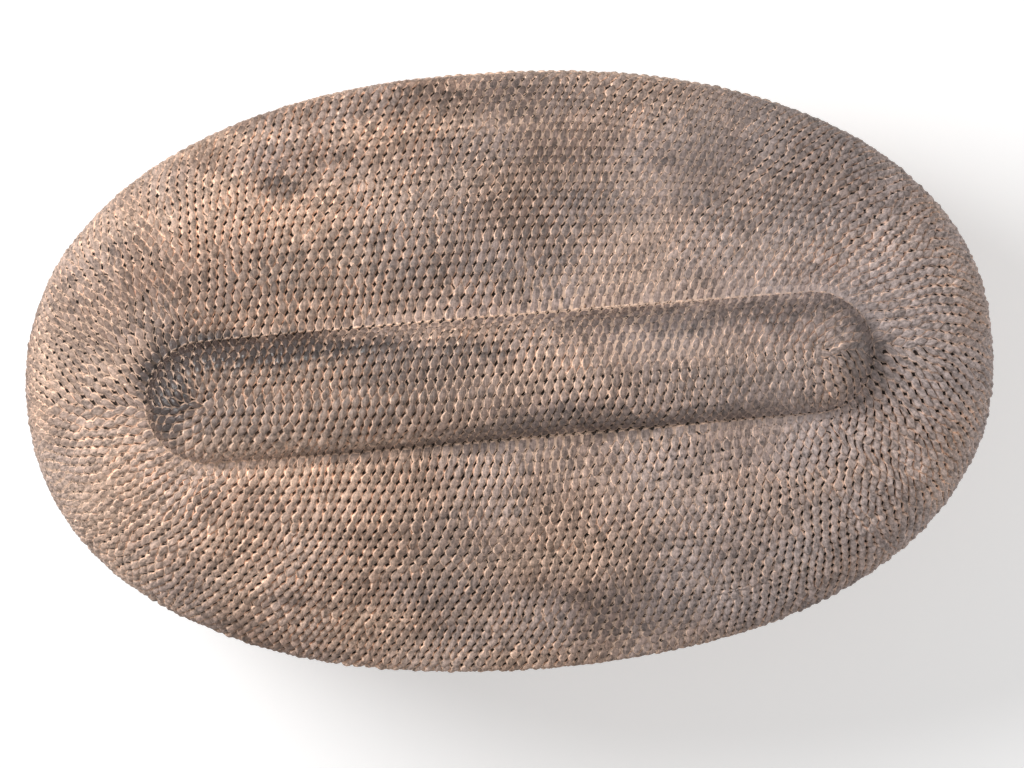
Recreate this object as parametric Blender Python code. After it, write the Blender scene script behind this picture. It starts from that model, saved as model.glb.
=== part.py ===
"""An oval coiled basket with a lift-off lid, standing on its floor.

The basket and its lid are each one long coil, sewn row on row. Each run of the
coil that has its own place and job is modelled as a solid of its own: floor,
heel, wall, mouth, collar, and on the lid skirt, crown and grip.

The lid is vaulted. A long hollow ridge along its middle is the grip. The crown
falls from the foot of the ridge to the skirt, gently along the two sides and
steeply at the two ends. The skirt slips over the collar, which is sewn inside
the basket's mouth, and the lid's rim coil rests on the basket's rim coil.

The wall, the skirt, the crown and the grip have the coil's rows on their outside,
as ribs with a groove where one row is sewn to the next.

Units are metres, +Z is up and +X runs along the oval.
"""

import math

import bmesh
import bpy
from mathutils import Matrix, Vector

# The lid's skirt, seen from above
LID_LENGTH = 0.399
LID_WIDTH = 0.247

# The lid's shell
LID_THICKNESS = 0.0055
CROWN_DROP = 0.040
SKIRT_HEIGHT = 0.022
LID_RIM_DIAMETER = 0.0065

# The grip ridge, measured at its foot
GRIP_LENGTH = 0.296
GRIP_WIDTH = 0.050
GRIP_HEIGHT = 0.017
GRIP_THICKNESS = 0.0045

# The basket's floor and heel
BASE_LENGTH = 0.316
BASE_WIDTH = 0.184
FLOOR_THICKNESS = 0.0070
HEEL_DIAMETER = 0.0080

# The basket's wall
WALL_HEIGHT = 0.104
WALL_THICKNESS = 0.0060
BASKET_RIM_DIAMETER = 0.0065

# The collar inside the mouth: how much of it is sewn to the wall, how far below
# that the wall still stands straight, and how far below the crown the collar ends
COLLAR_SEWN_HEIGHT = 0.024
WALL_STRAIGHT_BELOW_COLLAR = 0.006
COLLAR_HEADROOM = 0.0050
COLLAR_THICKNESS = 0.0045

# One row of the coil, as it shows outside, and how deep its joint to the next row lies
ROW_HEIGHT = 0.0037
ROW_JOINT_DEPTH = 0.0008

# The gap between pieces that are sewn together, and the lid's play on the collar
SEAM = 0.0003
LID_PLAY = 0.0020

# The ridge lies a little askew on the oval, as the maker left it
GRIP_TURN = math.radians(1.5)

# Pure numbers: the ovals' squareness, and how the crown falls away
OVAL_POWER = 2.2
SIDE_FALL_POWER = 1.7
END_FALL_POWER = 2.6
END_STARTS_SHARE = 0.30
END_FULL_SHARE = 0.92

# The grip's section from foot to top, as shares of its half width and height
GRIP_WIDTH_SHARES = (1.0, 0.94, 0.85, 0.70, 0.46, 0.20)
GRIP_HEIGHT_SHARES = (0.0, 0.26, 0.51, 0.77, 0.95, 1.0)

# Counts: points round each oval, points of the fine lines behind them, and inner rings
AROUND = 60
FINE_POINTS = 720
FINE_FALL_POINTS = 48
WALL_RINGS = 8
CROWN_RINGS = 8
RINGS_PER_ROW = 2
SMOOTH_ANGLE = math.radians(60)

# Finishes: colour, roughness and metallic value of each piece
FINISHES = {
    "basket_floor": ((0.30, 0.23, 0.19, 1.0), 0.80, 0.0),
    "basket_heel_coil": ((0.24, 0.18, 0.15, 1.0), 0.78, 0.0),
    "basket_wall": ((0.32, 0.25, 0.20, 1.0), 0.76, 0.0),
    "basket_rim_coil": ((0.27, 0.20, 0.17, 1.0), 0.74, 0.0),
    "basket_collar": ((0.36, 0.28, 0.21, 1.0), 0.80, 0.0),
    "collar_rim_coil": ((0.33, 0.25, 0.19, 1.0), 0.78, 0.0),
    "lid_skirt": ((0.40, 0.31, 0.24, 1.0), 0.76, 0.0),
    "lid_rim_coil": ((0.35, 0.27, 0.21, 1.0), 0.74, 0.0),
    "lid_crown": ((0.33, 0.26, 0.22, 1.0), 0.74, 0.0),
    "lid_grip": ((0.25, 0.19, 0.16, 1.0), 0.62, 0.0),
}

# Heights in the basket, from the surface it stands on
WALL_FOOT_Z = HEEL_DIAMETER + SEAM
WALL_TOP_Z = WALL_FOOT_Z + WALL_HEIGHT
BASKET_RIM_Z = WALL_TOP_Z + SEAM + BASKET_RIM_DIAMETER / 2

# Heights in the lid, from its seat on the basket's rim coil
LID_SEAT_Z = BASKET_RIM_Z + BASKET_RIM_DIAMETER / 2 + SEAM
LID_RIM_Z = LID_RIM_DIAMETER / 2
SKIRT_FOOT_Z = LID_RIM_DIAMETER + SEAM
SKIRT_TOP_Z = SKIRT_FOOT_Z + SKIRT_HEIGHT
CROWN_FOOT_Z = SKIRT_TOP_Z + SEAM
CROWN_TOP_Z = CROWN_FOOT_Z + CROWN_DROP
GRIP_FOOT_Z = CROWN_TOP_Z + SEAM

# Heights of the collar, which ends under the lid's crown
COLLAR_RIM_Z = LID_SEAT_Z + CROWN_FOOT_Z - COLLAR_HEADROOM - COLLAR_THICKNESS / 2
COLLAR_TOP_Z = COLLAR_RIM_Z - COLLAR_THICKNESS / 2 - SEAM
COLLAR_FOOT_Z = WALL_TOP_Z - COLLAR_SEWN_HEIGHT

# Insets from the lid's outline to the pieces that nest inside it
COLLAR_INSET = LID_THICKNESS + LID_PLAY
WALL_INSET = COLLAR_INSET - SEAM - WALL_THICKNESS

GRIP_STRAIGHT = (GRIP_LENGTH - GRIP_WIDTH) / 2


def spaced_evenly(outline, count):
    """Return count points spaced evenly along a closed outline, from its first point on."""
    ends = outline[1:] + outline[:1]
    lengths = [(end - start).length for start, end in zip(outline, ends)]
    step = sum(lengths) / count
    points = []
    passed = 0.0
    for start, end, length in zip(outline, ends, lengths):
        while len(points) < count and step * len(points) <= passed + length:
            points.append(start.lerp(end, (step * len(points) - passed) / length))
        passed += length
    return points


def length_of(line):
    """Return the length of an open line of points."""
    return sum((end - start).length for start, end in zip(line, line[1:]))


def steady_steps(line, count):
    """Return the points of count steady steps along an open line, with both of its ends."""
    step = length_of(line) / count
    points = [line[0]]
    passed = 0.0
    for start, end in zip(line, line[1:]):
        length = (end - start).length
        while len(points) < count and step * len(points) <= passed + length:
            points.append(start.lerp(end, (step * len(points) - passed) / length))
        passed += length
    return points + [line[-1]]


def inset(outline, distance):
    """Return the outline with each point moved inwards along its own normal."""
    moved = []
    for index, point in enumerate(outline):
        along = outline[(index + 1) % len(outline)] - outline[index - 1]
        inwards = Vector((-along.y, along.x)).normalized()
        moved.append(point + inwards * distance)
    return moved


def oval(length, width, inside=0.0):
    """Return an even outline of a slightly squared oval, anticlockwise from its +X tip."""
    fine = []
    for index in range(FINE_POINTS):
        turn = math.tau * index / FINE_POINTS
        across, up = math.cos(turn), math.sin(turn)
        fine.append(Vector((
            math.copysign(abs(across) ** (2 / OVAL_POWER), across) * length / 2,
            math.copysign(abs(up) ** (2 / OVAL_POWER), up) * width / 2,
        )))
    return inset(spaced_evenly(fine, AROUND), inside)


def ridge(radius):
    """Return an even outline at this distance from the grip's centre line, turned with the grip."""
    fine = []
    for index in range(FINE_POINTS):
        turn = math.tau * index / FINE_POINTS
        centre = math.copysign(GRIP_STRAIGHT, math.cos(turn))
        fine.append(Vector((centre + radius * math.cos(turn), radius * math.sin(turn))))
    turned = Matrix.Rotation(GRIP_TURN, 2)
    return [turned @ point for point in spaced_evenly(fine, AROUND)]


def at_height(outline, height):
    """Return the outline's points at one height."""
    return [Vector((point.x, point.y, height)) for point in outline]


def end_share(point):
    """Return 0 along the lid's sides, 1 at its two ends and a smooth step between."""
    along = abs(point.x) / (LID_LENGTH / 2)
    step = (along - END_STARTS_SHARE) / (END_FULL_SHARE - END_STARTS_SHARE)
    step = min(max(step, 0.0), 1.0)
    return step * step * (3 - 2 * step)


def crown_line(foot, summit, top, drop, count):
    """Return points a steady step apart up the crown, from the skirt to the grip's foot."""
    fine = []
    for index in range(FINE_FALL_POINTS + 1):
        out_share = math.cos(math.pi / 2 * index / FINE_FALL_POINTS)
        side_fall = out_share ** SIDE_FALL_POWER
        end_fall = 1 - math.sqrt(max(1 - out_share ** END_FALL_POWER, 0.0))
        fall = side_fall + (end_fall - side_fall) * end_share(foot)
        place = summit.lerp(foot, out_share)
        fine.append(Vector((place.x, place.y, top - drop * fall)))
    return steady_steps(fine, count)


def crown_rings(rim, summit, top, drop, count):
    """Return rings a steady step apart up the crown, from its outline at the skirt to the grip's."""
    lines = [crown_line(foot, head, top, drop, count) for foot, head in zip(rim, summit)]
    return [list(ring) for ring in zip(*lines)]


def joints(rings):
    """Return the numbers of the rings that lie at a joint between two rows of the coil."""
    return range(RINGS_PER_ROW, len(rings) - 1, RINGS_PER_ROW)


def sewn_rows(rings):
    """Return rings, given from the lowest up, with a groove at every joint between two rows."""
    sewn = list(rings)
    for index in joints(rings):
        ring, below, above = rings[index], rings[index - 1], rings[index + 1]
        groove = []
        for place, point in enumerate(ring):
            along = ring[(place + 1) % AROUND] - ring[place - 1]
            outwards = along.cross(above[place] - below[place]).normalized()
            groove.append(point - outwards * ROW_JOINT_DEPTH)
        sewn[index] = groove
    return sewn


def rows_along(length):
    """Return how many rows of the coil make up a length, and at least one."""
    return max(round(length / ROW_HEIGHT), 1)


def finish(name):
    """Return the material of the named piece."""
    colour, roughness, metallic = FINISHES[name]
    material = bpy.data.materials.new(name)
    material.use_nodes = True
    shader = material.node_tree.nodes["Principled BSDF"]
    shader.inputs["Base Color"].default_value = colour
    shader.inputs["Roughness"].default_value = roughness
    shader.inputs["Metallic"].default_value = metallic
    material.diffuse_color = colour
    return material


def place(name, data, parent, pieces):
    """Link a piece to its collection, under the empty that it moves with."""
    piece = bpy.data.objects.new(name, data)
    piece.parent = parent
    data.materials.append(finish(name))
    pieces.objects.link(piece)
    return piece


def loft(name, rings, parent, pieces, loop, sharp=()):
    """Make a solid through rings of equal count: a hoop if loop is true, or else capped at both ends.

    Edges are smooth up to SMOOTH_ANGLE, but along the rings whose numbers are in sharp.
    """
    shape = bmesh.new()
    rows = [[shape.verts.new(point) for point in ring] for ring in rings]
    followers = rows[1:] + rows[:1] if loop else rows[1:]
    for row, following in zip(rows, followers):
        for index in range(AROUND):
            beyond = (index + 1) % AROUND
            shape.faces.new((row[index], row[beyond], following[beyond], following[index]))
    if not loop:
        shape.faces.new(rows[0])
        shape.faces.new(rows[-1])
    bmesh.ops.recalc_face_normals(shape, faces=shape.faces)
    for face in shape.faces:
        face.smooth = True
    for edge in shape.edges:
        edge.smooth = edge.calc_face_angle() < SMOOTH_ANGLE
    for number in sharp:
        row = rows[number]
        for index in range(AROUND):
            shape.edges.get((row[index], row[(index + 1) % AROUND])).smooth = False
    mesh = bpy.data.meshes.new(name)
    shape.to_mesh(mesh)
    shape.free()
    return place(name, mesh, parent, pieces)


def add_loop(curve, points):
    """Add a closed loop through the points to a curve."""
    spline = curve.splines.new("POLY")
    spline.points.add(len(points) - 1)
    for target, point in zip(spline.points, points):
        target.co = (point.x, point.y, point.z, 1.0)
    spline.use_cyclic_u = True


def coil(name, outline, height, diameter, parent, pieces):
    """Make a round coil that lies along an outline at one height."""
    curve = bpy.data.curves.new(name, "CURVE")
    curve.dimensions = "3D"
    add_loop(curve, at_height(outline, height))
    curve.bevel_depth = diameter / 2
    curve.bevel_resolution = 2
    return place(name, curve, parent, pieces)


def band(name, outlines, foot, top, parent, pieces):
    """Make a solid that stands straight on one outline, or between an outer and an inner one."""
    curve = bpy.data.curves.new(name, "CURVE")
    curve.dimensions = "2D"
    for outline in outlines:
        add_loop(curve, at_height(outline, 0.0))
    curve.fill_mode = "BOTH"
    curve.extrude = (top - foot) / 2
    piece = place(name, curve, parent, pieces)
    piece.location.z = (top + foot) / 2
    return piece


def wall_rings(inside, count):
    """Return rings up the wall, this far inside its outer face: flared from the heel, then straight."""
    foot_inset = (HEEL_DIAMETER - WALL_THICKNESS) / 2
    foot_length = BASE_LENGTH - 2 * foot_inset
    foot_width = BASE_WIDTH - 2 * foot_inset
    mouth_length = LID_LENGTH - 2 * WALL_INSET
    mouth_width = LID_WIDTH - 2 * WALL_INSET
    flared_height = COLLAR_FOOT_Z - WALL_STRAIGHT_BELOW_COLLAR - WALL_FOOT_Z
    rings = []
    for index in range(count + 1):
        height = WALL_HEIGHT * index / count
        flare = math.sin(min(height / flared_height, 1.0) * math.pi / 2)
        outline = oval(
            foot_length + (mouth_length - foot_length) * flare,
            foot_width + (mouth_width - foot_width) * flare,
            inside,
        )
        rings.append(at_height(outline, WALL_FOOT_Z + height))
    return rings


def make_wall(parent, pieces):
    """Make the basket's wall, with the coil's rows on its outside."""
    outside = sewn_rows(wall_rings(0.0, RINGS_PER_ROW * rows_along(WALL_HEIGHT)))
    within = wall_rings(WALL_THICKNESS, WALL_RINGS)
    loft("basket_wall", outside + within[::-1], parent, pieces, loop=True, sharp=joints(outside))


def make_basket(parent, pieces):
    """Make the floor, the heel coil, the wall, its rim coil, the collar and the collar's rim coil."""
    floor_outline = oval(BASE_LENGTH, BASE_WIDTH, HEEL_DIAMETER + SEAM)
    band("basket_floor", [floor_outline], 0.0, FLOOR_THICKNESS, parent, pieces)
    heel_line = oval(BASE_LENGTH, BASE_WIDTH, HEEL_DIAMETER / 2)
    coil("basket_heel_coil", heel_line, HEEL_DIAMETER / 2, HEEL_DIAMETER, parent, pieces)
    make_wall(parent, pieces)

    rim_inset = WALL_INSET + WALL_THICKNESS - BASKET_RIM_DIAMETER / 2
    rim_line = oval(LID_LENGTH, LID_WIDTH, rim_inset)
    coil("basket_rim_coil", rim_line, BASKET_RIM_Z, BASKET_RIM_DIAMETER, parent, pieces)

    collar_outlines = [
        oval(LID_LENGTH, LID_WIDTH, COLLAR_INSET),
        oval(LID_LENGTH, LID_WIDTH, COLLAR_INSET + COLLAR_THICKNESS),
    ]
    band("basket_collar", collar_outlines, COLLAR_FOOT_Z, COLLAR_TOP_Z, parent, pieces)
    collar_line = oval(LID_LENGTH, LID_WIDTH, COLLAR_INSET + COLLAR_THICKNESS / 2)
    coil("collar_rim_coil", collar_line, COLLAR_RIM_Z, COLLAR_THICKNESS, parent, pieces)


def make_skirt(parent, pieces):
    """Make the lid's upright skirt, and under it a rim coil flush with the skirt's inner face."""
    rim_line = oval(LID_LENGTH, LID_WIDTH, LID_THICKNESS - LID_RIM_DIAMETER / 2)
    coil("lid_rim_coil", rim_line, LID_RIM_Z, LID_RIM_DIAMETER, parent, pieces)
    outline = oval(LID_LENGTH, LID_WIDTH)
    count = RINGS_PER_ROW * rows_along(SKIRT_HEIGHT)
    heights = [SKIRT_FOOT_Z + SKIRT_HEIGHT * index / count for index in range(count + 1)]
    outside = sewn_rows([at_height(outline, height) for height in heights])
    inner = oval(LID_LENGTH, LID_WIDTH, LID_THICKNESS)
    within = [at_height(inner, SKIRT_FOOT_Z), at_height(inner, SKIRT_TOP_Z)]
    loft("lid_skirt", outside + within[::-1], parent, pieces, loop=True, sharp=joints(outside))


def make_crown(parent, pieces):
    """Make the vaulted crown in rows, with a flat lip for the grip round the slot under it."""
    slot = ridge(GRIP_WIDTH / 2 - GRIP_THICKNESS)
    side_run = math.hypot((LID_WIDTH - GRIP_WIDTH) / 2, CROWN_DROP)
    end_run = math.hypot((LID_LENGTH - GRIP_LENGTH) / 2, CROWN_DROP)
    count = RINGS_PER_ROW * rows_along((side_run + end_run) / 2)
    outside = sewn_rows(crown_rings(
        oval(LID_LENGTH, LID_WIDTH), ridge(GRIP_WIDTH / 2), CROWN_TOP_Z, CROWN_DROP, count
    ))
    lip = at_height(slot, CROWN_TOP_Z)
    within = crown_rings(
        oval(LID_LENGTH, LID_WIDTH, LID_THICKNESS), slot,
        CROWN_TOP_Z - LID_THICKNESS, CROWN_DROP - LID_THICKNESS, CROWN_RINGS,
    )
    rings = outside + [lip] + within[::-1]
    loft("lid_crown", rings, parent, pieces, loop=True, sharp=joints(outside))


def make_grip(parent, pieces):
    """Make the hollow ridge that stands on the crown's lip, in rows outside."""
    section = []
    within = []
    for width_share, height_share in zip(GRIP_WIDTH_SHARES, GRIP_HEIGHT_SHARES):
        section.append(Vector((GRIP_WIDTH / 2 * width_share, GRIP_FOOT_Z + GRIP_HEIGHT * height_share)))
        inner_radius = (GRIP_WIDTH / 2 - GRIP_THICKNESS) * width_share
        inner_height = (GRIP_HEIGHT - GRIP_THICKNESS) * height_share
        within.append(at_height(ridge(inner_radius), GRIP_FOOT_Z + inner_height))
    steps = steady_steps(section, RINGS_PER_ROW * rows_along(length_of(section)))
    outside = sewn_rows([at_height(ridge(radius), height) for radius, height in steps])
    sharp = [len(within) + number for number in joints(outside)]
    loft("lid_grip", within[::-1] + outside, parent, pieces, loop=False, sharp=sharp)


def make_empty(name, height, pieces):
    """Make the empty that a group of pieces hangs on, on the lid's line of travel."""
    empty = bpy.data.objects.new(name, None)
    empty.location.z = height
    pieces.objects.link(empty)
    return empty


def main():
    """Clear the scene and build the basket and its lid."""
    for leftover in list(bpy.data.objects):
        bpy.data.objects.remove(leftover)
    pieces = bpy.data.collections.new("lidded_basket")
    bpy.context.scene.collection.children.link(pieces)
    make_basket(make_empty("basket", 0.0, pieces), pieces)
    lid = make_empty("lid", LID_SEAT_Z, pieces)
    make_skirt(lid, pieces)
    make_crown(lid, pieces)
    make_grip(lid, pieces)


main()
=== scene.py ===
"""The look of an oval coiled basket with a lift-off lid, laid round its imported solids.

Each face of the basket is a field of meridians round an oval. Rows of coil run
along it, and every row takes its stitches from the row before, the way a sewer
works: each stitch is set a part of a stitch on from the one below, and one more is
put in where they drift apart. Short rows fill out the lid's long sides. A stitch is
a closed bead of root, bent to the face it lies on, over a dark core of coil.

Units are metres, +Z is up and +X runs along the oval.
"""

import logging
import math
from collections.abc import Callable
from dataclasses import dataclass, field
from enum import Enum

import bpy
import numpy as np
from mathutils import Matrix, Vector


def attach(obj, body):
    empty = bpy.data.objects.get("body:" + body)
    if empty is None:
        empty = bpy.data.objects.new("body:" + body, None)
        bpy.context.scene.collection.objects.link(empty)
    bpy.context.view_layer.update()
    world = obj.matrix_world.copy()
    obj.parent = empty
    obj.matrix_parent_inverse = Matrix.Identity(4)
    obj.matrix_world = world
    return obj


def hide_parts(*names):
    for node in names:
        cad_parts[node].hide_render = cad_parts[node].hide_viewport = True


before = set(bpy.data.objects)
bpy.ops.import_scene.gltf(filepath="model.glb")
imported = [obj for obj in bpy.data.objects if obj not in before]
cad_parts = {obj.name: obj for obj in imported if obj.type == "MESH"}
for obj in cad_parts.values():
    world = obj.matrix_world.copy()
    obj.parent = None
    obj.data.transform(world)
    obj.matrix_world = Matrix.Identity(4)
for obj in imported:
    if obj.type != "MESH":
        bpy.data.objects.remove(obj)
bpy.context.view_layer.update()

LOG = logging.getLogger("basket")

Array = np.ndarray
Colour = tuple[int, int, int]
Material = bpy.types.Material
Piece = bpy.types.Object
Socket = bpy.types.NodeSocket
Value = Socket | float | tuple[float, ...] | None

# Samples round every oval, and the length of a step along a meridian
AROUND = 1440
TURNS = np.arange(AROUND) / AROUND
MERIDIAN_STEP = 0.0005

# The oval's squareness, the ridge's turn about Z, the seams, and the radius of a face's first ring
OVAL_POWER = 2.2
GRIP_TURN = math.radians(1.5)
TURNED = np.array([[math.cos(GRIP_TURN), math.sin(GRIP_TURN)], [-math.sin(GRIP_TURN), math.cos(GRIP_TURN)]])
SEAM = 0.0003
FIRST_RING = 0.0003

# The ridge's section from its top to its foot, as shares of its half width and height, and its foot inside
GRIP_SECTION = ((0.20, 1.0), (0.46, 0.95), (0.70, 0.77), (0.85, 0.51), (0.94, 0.26), (1.0, 0.0))
GRIP_INNER_FOOT = (1.0, -0.3)

# The share of the first coil's face that is sewn, so that no stitch comes near the face's ends
FIRST_COIL_SEWN = 0.94

# How far out a stitch's foot lies, in half widths
FOOT = 1.07

# The bed between the stitches: how far beside a stitch's middle its needle holes lie, how deep they are and
# how high it stands where stitches are worn, as shares of a stitch's height, and its columns and lines
HOLE = 0.55
HOLE_DEPTH = 1.6
BED_COLUMNS = (-1.0, -HOLE, -0.2, 0.2, HOLE, 1.0)
BED_LINES = (-1.0, -0.6, 0.6, 1.0)
BED_SHARE = 0.62

# How far the dark core lies under an inner face, an outer face and a thin part's faces
INNER_DEPTH, OUTER_DEPTH, THIN_DEPTH = 0.0015, 0.0017, 0.0013

# The relief from which the face is open between its stitches, and over how much more it opens fully
OPEN_FROM, OPEN_OVER = 0.70, 0.45

# The relief of worn stitches, and the place along X, the reach and the added relief of the plump ones
WORN = 0.84
LEFT_PLUMP = (-0.085, 0.064, 0.46)
RIGHT_PLUMP = (0.125, 0.014, 0.34)

# The crease at the ridge's foot: its distance from the foot, its reach and how much it lowers the stitches
CREASE = (0.0005, 0.0035, 0.3)

# Rings of the crown, the wall and the floor, and those round a coil, in its face and in its core
CROWN_RINGS, WALL_RINGS, FLOOR_RINGS, COIL_RINGS, COIL_CORE_RINGS = 17, 15, 5, 49, 16

# Rings under the lid's faces, the wall's, the floor's and the collar's
LID_CORE, WALL_CORE, FLOOR_CORE, COLLAR_CORE = 90, 30, 8, 4

# How often a row is searched for gaps, how far and how strongly a change spreads, and how it is evened out
SEARCHES, SPREAD_STEPS, SPREAD_SHARE, EASE_STEPS, EASE_SHARE = 3, 4, 0.8, 6, 0.5

# How the bead's inner points gather across it, how far they reach across and along, and its section's powers
BUNCHING_ACROSS, REACH_ACROSS, REACH_ALONG, SECTION_OUTER, SECTION_INNER = 0.76, 0.92, 0.86, 2.3, 0.62

# How much of a row's height must be there for a stitch and for the bed
LEAST_STITCH, LEAST_BED = 0.25, 0.02

# How slim a stitch may get, how uneven worn stitches still are, and how low and how high one may stand
LEAST_TAPER, WORN_LOOSENESS, LEAST_SWELL, MOST_SWELL = 0.07, 0.35, 0.15, 1.6

# The waves along a row in which it swells and slims, their share of its unevenness, and the limits of both
ROW_WAVES, WAVE_SHARE, SLIMMEST_ROW, WIDEST_ROW = (2, 3, 5, 8, 13), 0.6, 0.7, 1.4


class Facing(Enum):
    """Which way a face looks: with its rings' winding, anticlockwise up or outwards, or against it."""

    WITH = 1.0
    AGAINST = -1.0


def even_outline(points: Array, count: int) -> Array:
    """Space a number of points evenly along a closed outline, from its first point on."""
    closed = np.vstack([points, points[:1]])
    reach = np.append(0.0, np.cumsum(np.linalg.norm(np.diff(closed, axis=0), axis=1)))
    wanted = np.arange(count) / count * reach[-1]
    return np.stack([np.interp(wanted, reach, closed[:, axis]) for axis in (0, 1)], axis=1)


def oval(length: float, width: float, inside: float = 0.0) -> Array:
    """Outline a slightly squared oval.

    Args:
        length: The oval's length along X.
        width: The oval's width along Y.
        inside: How far inside that oval the outline lies.

    Returns:
        AROUND points, anticlockwise from the +X tip.
    """
    turn = np.linspace(0.0, math.tau, 5 * AROUND, endpoint=False)
    fine = [np.sign(part) * np.abs(part) ** (2 / OVAL_POWER) * size / 2
            for part, size in ((np.cos(turn), length), (np.sin(turn), width))]
    points = even_outline(np.stack(fine, axis=1), AROUND)
    return points - inside * outwards(points)


def outwards(outline: Array) -> Array:
    """Return the directions that point out of a closed outline."""
    along = np.roll(outline, -1, axis=0) - np.roll(outline, 1, axis=0)
    return np.stack([along[:, 1], -along[:, 0]], axis=1) / np.linalg.norm(along, axis=1, keepdims=True)


def stadium(straight: float, radius: float) -> Array:
    """Outline the points at a distance from a straight stretch of the given half length along X."""
    angle = np.linspace(0.0, math.tau, 5 * AROUND, endpoint=False)
    centre = np.where(np.cos(angle) >= 0, straight, -straight)
    return even_outline(np.stack([centre + radius * np.cos(angle), radius * np.sin(angle)], axis=1), AROUND)


def level(outline: Array, height: float | Array) -> Array:
    """Raise an outline's points to a height, and return them as a ring."""
    return np.column_stack([outline, np.broadcast_to(height, len(outline))])


def eased(share: Array) -> Array:
    """Ease shares in and out between 0 and 1."""
    share = np.clip(share, 0.0, 1.0)
    return share * share * (3 - 2 * share)


def blur(rings: Array, spread: float) -> Array:
    """Soften the creases of rings along their meridians, by a spread in steps, with the ends kept."""
    reach = int(math.ceil(3 * spread))
    shares = np.exp(-0.5 * (np.arange(-reach, reach + 1) / spread) ** 2)
    before, after = 2 * rings[:1] - rings[reach:0:-1], 2 * rings[-1:] - rings[-2:-reach - 2:-1]
    padded = np.concatenate([before, rings, after])
    total = np.zeros_like(rings)
    for index, share in enumerate(shares / shares.sum()):
        total += share * padded[index:index + len(rings)]
    return total


def beside(turn: Array) -> tuple[Array, Array, Array]:
    """Return the samples on both sides of places round the oval, and how near each place is to the second."""
    x = (turn % 1.0) * AROUND
    left = np.floor(x).astype(int) % AROUND
    return left, (left + 1) % AROUND, x - np.floor(x)


def read_row(values: Array, row: Array | int, turn: Array) -> Array:
    """Read rows of samples at places round the oval."""
    left, right, x = beside(turn)
    return values[row, left] * (1 - x) + values[row, right] * x


def neighbours(spots: Array, whole: float = 1.0) -> tuple[Array, Array]:
    """Return the places before and after each rising place on a closed line of the given length."""
    return np.append(spots[-1] - whole, spots[:-1]), np.append(spots[1:], spots[0] + whole)


def in_parts(rows: range, count: int) -> list[range]:
    """Split rows evenly into parts."""
    return [rows[len(rows) * index // count:len(rows) * (index + 1) // count] for index in range(count)]


@dataclass
class Surface:
    """A face of the basket as a field of meridians, from the row sewn first to the last.

    Attributes:
        rings: Points on the face, as (steps, AROUND, 3).
        facing: Which way the face looks.
        marks: Named levels, each as a share along every meridian.
    """

    rings: Array
    facing: Facing
    marks: dict[str, Array] = field(default_factory=dict)

    @classmethod
    def through(cls, rings: list[Array], facing: Facing, soften: float = 0.0,
                marks: dict[str, int] | None = None) -> "Surface":
        """Lay meridians through rings.

        Args:
            rings: The rings, in the order in which they are sewn.
            facing: Which way the face looks.
            soften: How far the creases between the rings are rounded.
            marks: Names for some rings, by their place in the list.

        Returns:
            The surface.
        """
        raw = np.stack(rings)
        reach = np.cumsum(np.linalg.norm(np.diff(raw, axis=0), axis=2), axis=0)
        reach = np.vstack([np.zeros(AROUND), reach])
        shares = reach / reach[-1]
        wanted = np.linspace(0.0, 1.0, int(reach[-1].max() / MERIDIAN_STEP) + 2)
        fine = np.empty((len(wanted), AROUND, 3))
        for turn, axis in np.ndindex(AROUND, 3):
            fine[:, turn, axis] = np.interp(wanted, shares[:, turn], raw[:, turn, axis])
        if soften:
            fine = blur(fine, soften / MERIDIAN_STEP)
        return cls(fine, facing, {name: shares[place].copy() for name, place in (marks or {}).items()})

    def __post_init__(self) -> None:
        """Work out the face's normals and the length of each meridian."""
        along = np.gradient(self.rings, axis=0)
        around = np.roll(self.rings, -1, axis=1) - np.roll(self.rings, 1, axis=1)
        normals = np.cross(along, around) * self.facing.value
        self.normals = normals / np.maximum(np.linalg.norm(normals, axis=2, keepdims=True), 1e-12)
        self.lengths = np.linalg.norm(np.diff(self.rings, axis=0), axis=2).sum(axis=0)

    def at(self, turn: Array, share: Array, lift: float | Array = 0.0) -> Array:
        """Find points on the face.

        Args:
            turn: Their places round the oval, as shares.
            share: Their places along the meridians, as shares.
            lift: How far they lie off the face, along its normals.

        Returns:
            The points, with X, Y and Z last.
        """
        left, right, x = beside(turn)
        y = np.clip(share, 0.0, 1.0) * (len(self.rings) - 1)
        low = np.minimum(np.floor(y).astype(int), len(self.rings) - 2)
        x, y = x[..., None], (y - low)[..., None]

        def read(values: Array) -> Array:
            """Read values between the four samples round each place."""
            near, far = (values[line, left] * (1 - x) + values[line, right] * x for line in (low, low + 1))
            return near * (1 - y) + far * y

        points = read(self.rings)
        return points + read(self.normals) * np.asarray(lift)[..., None] if np.any(lift) else points


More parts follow.
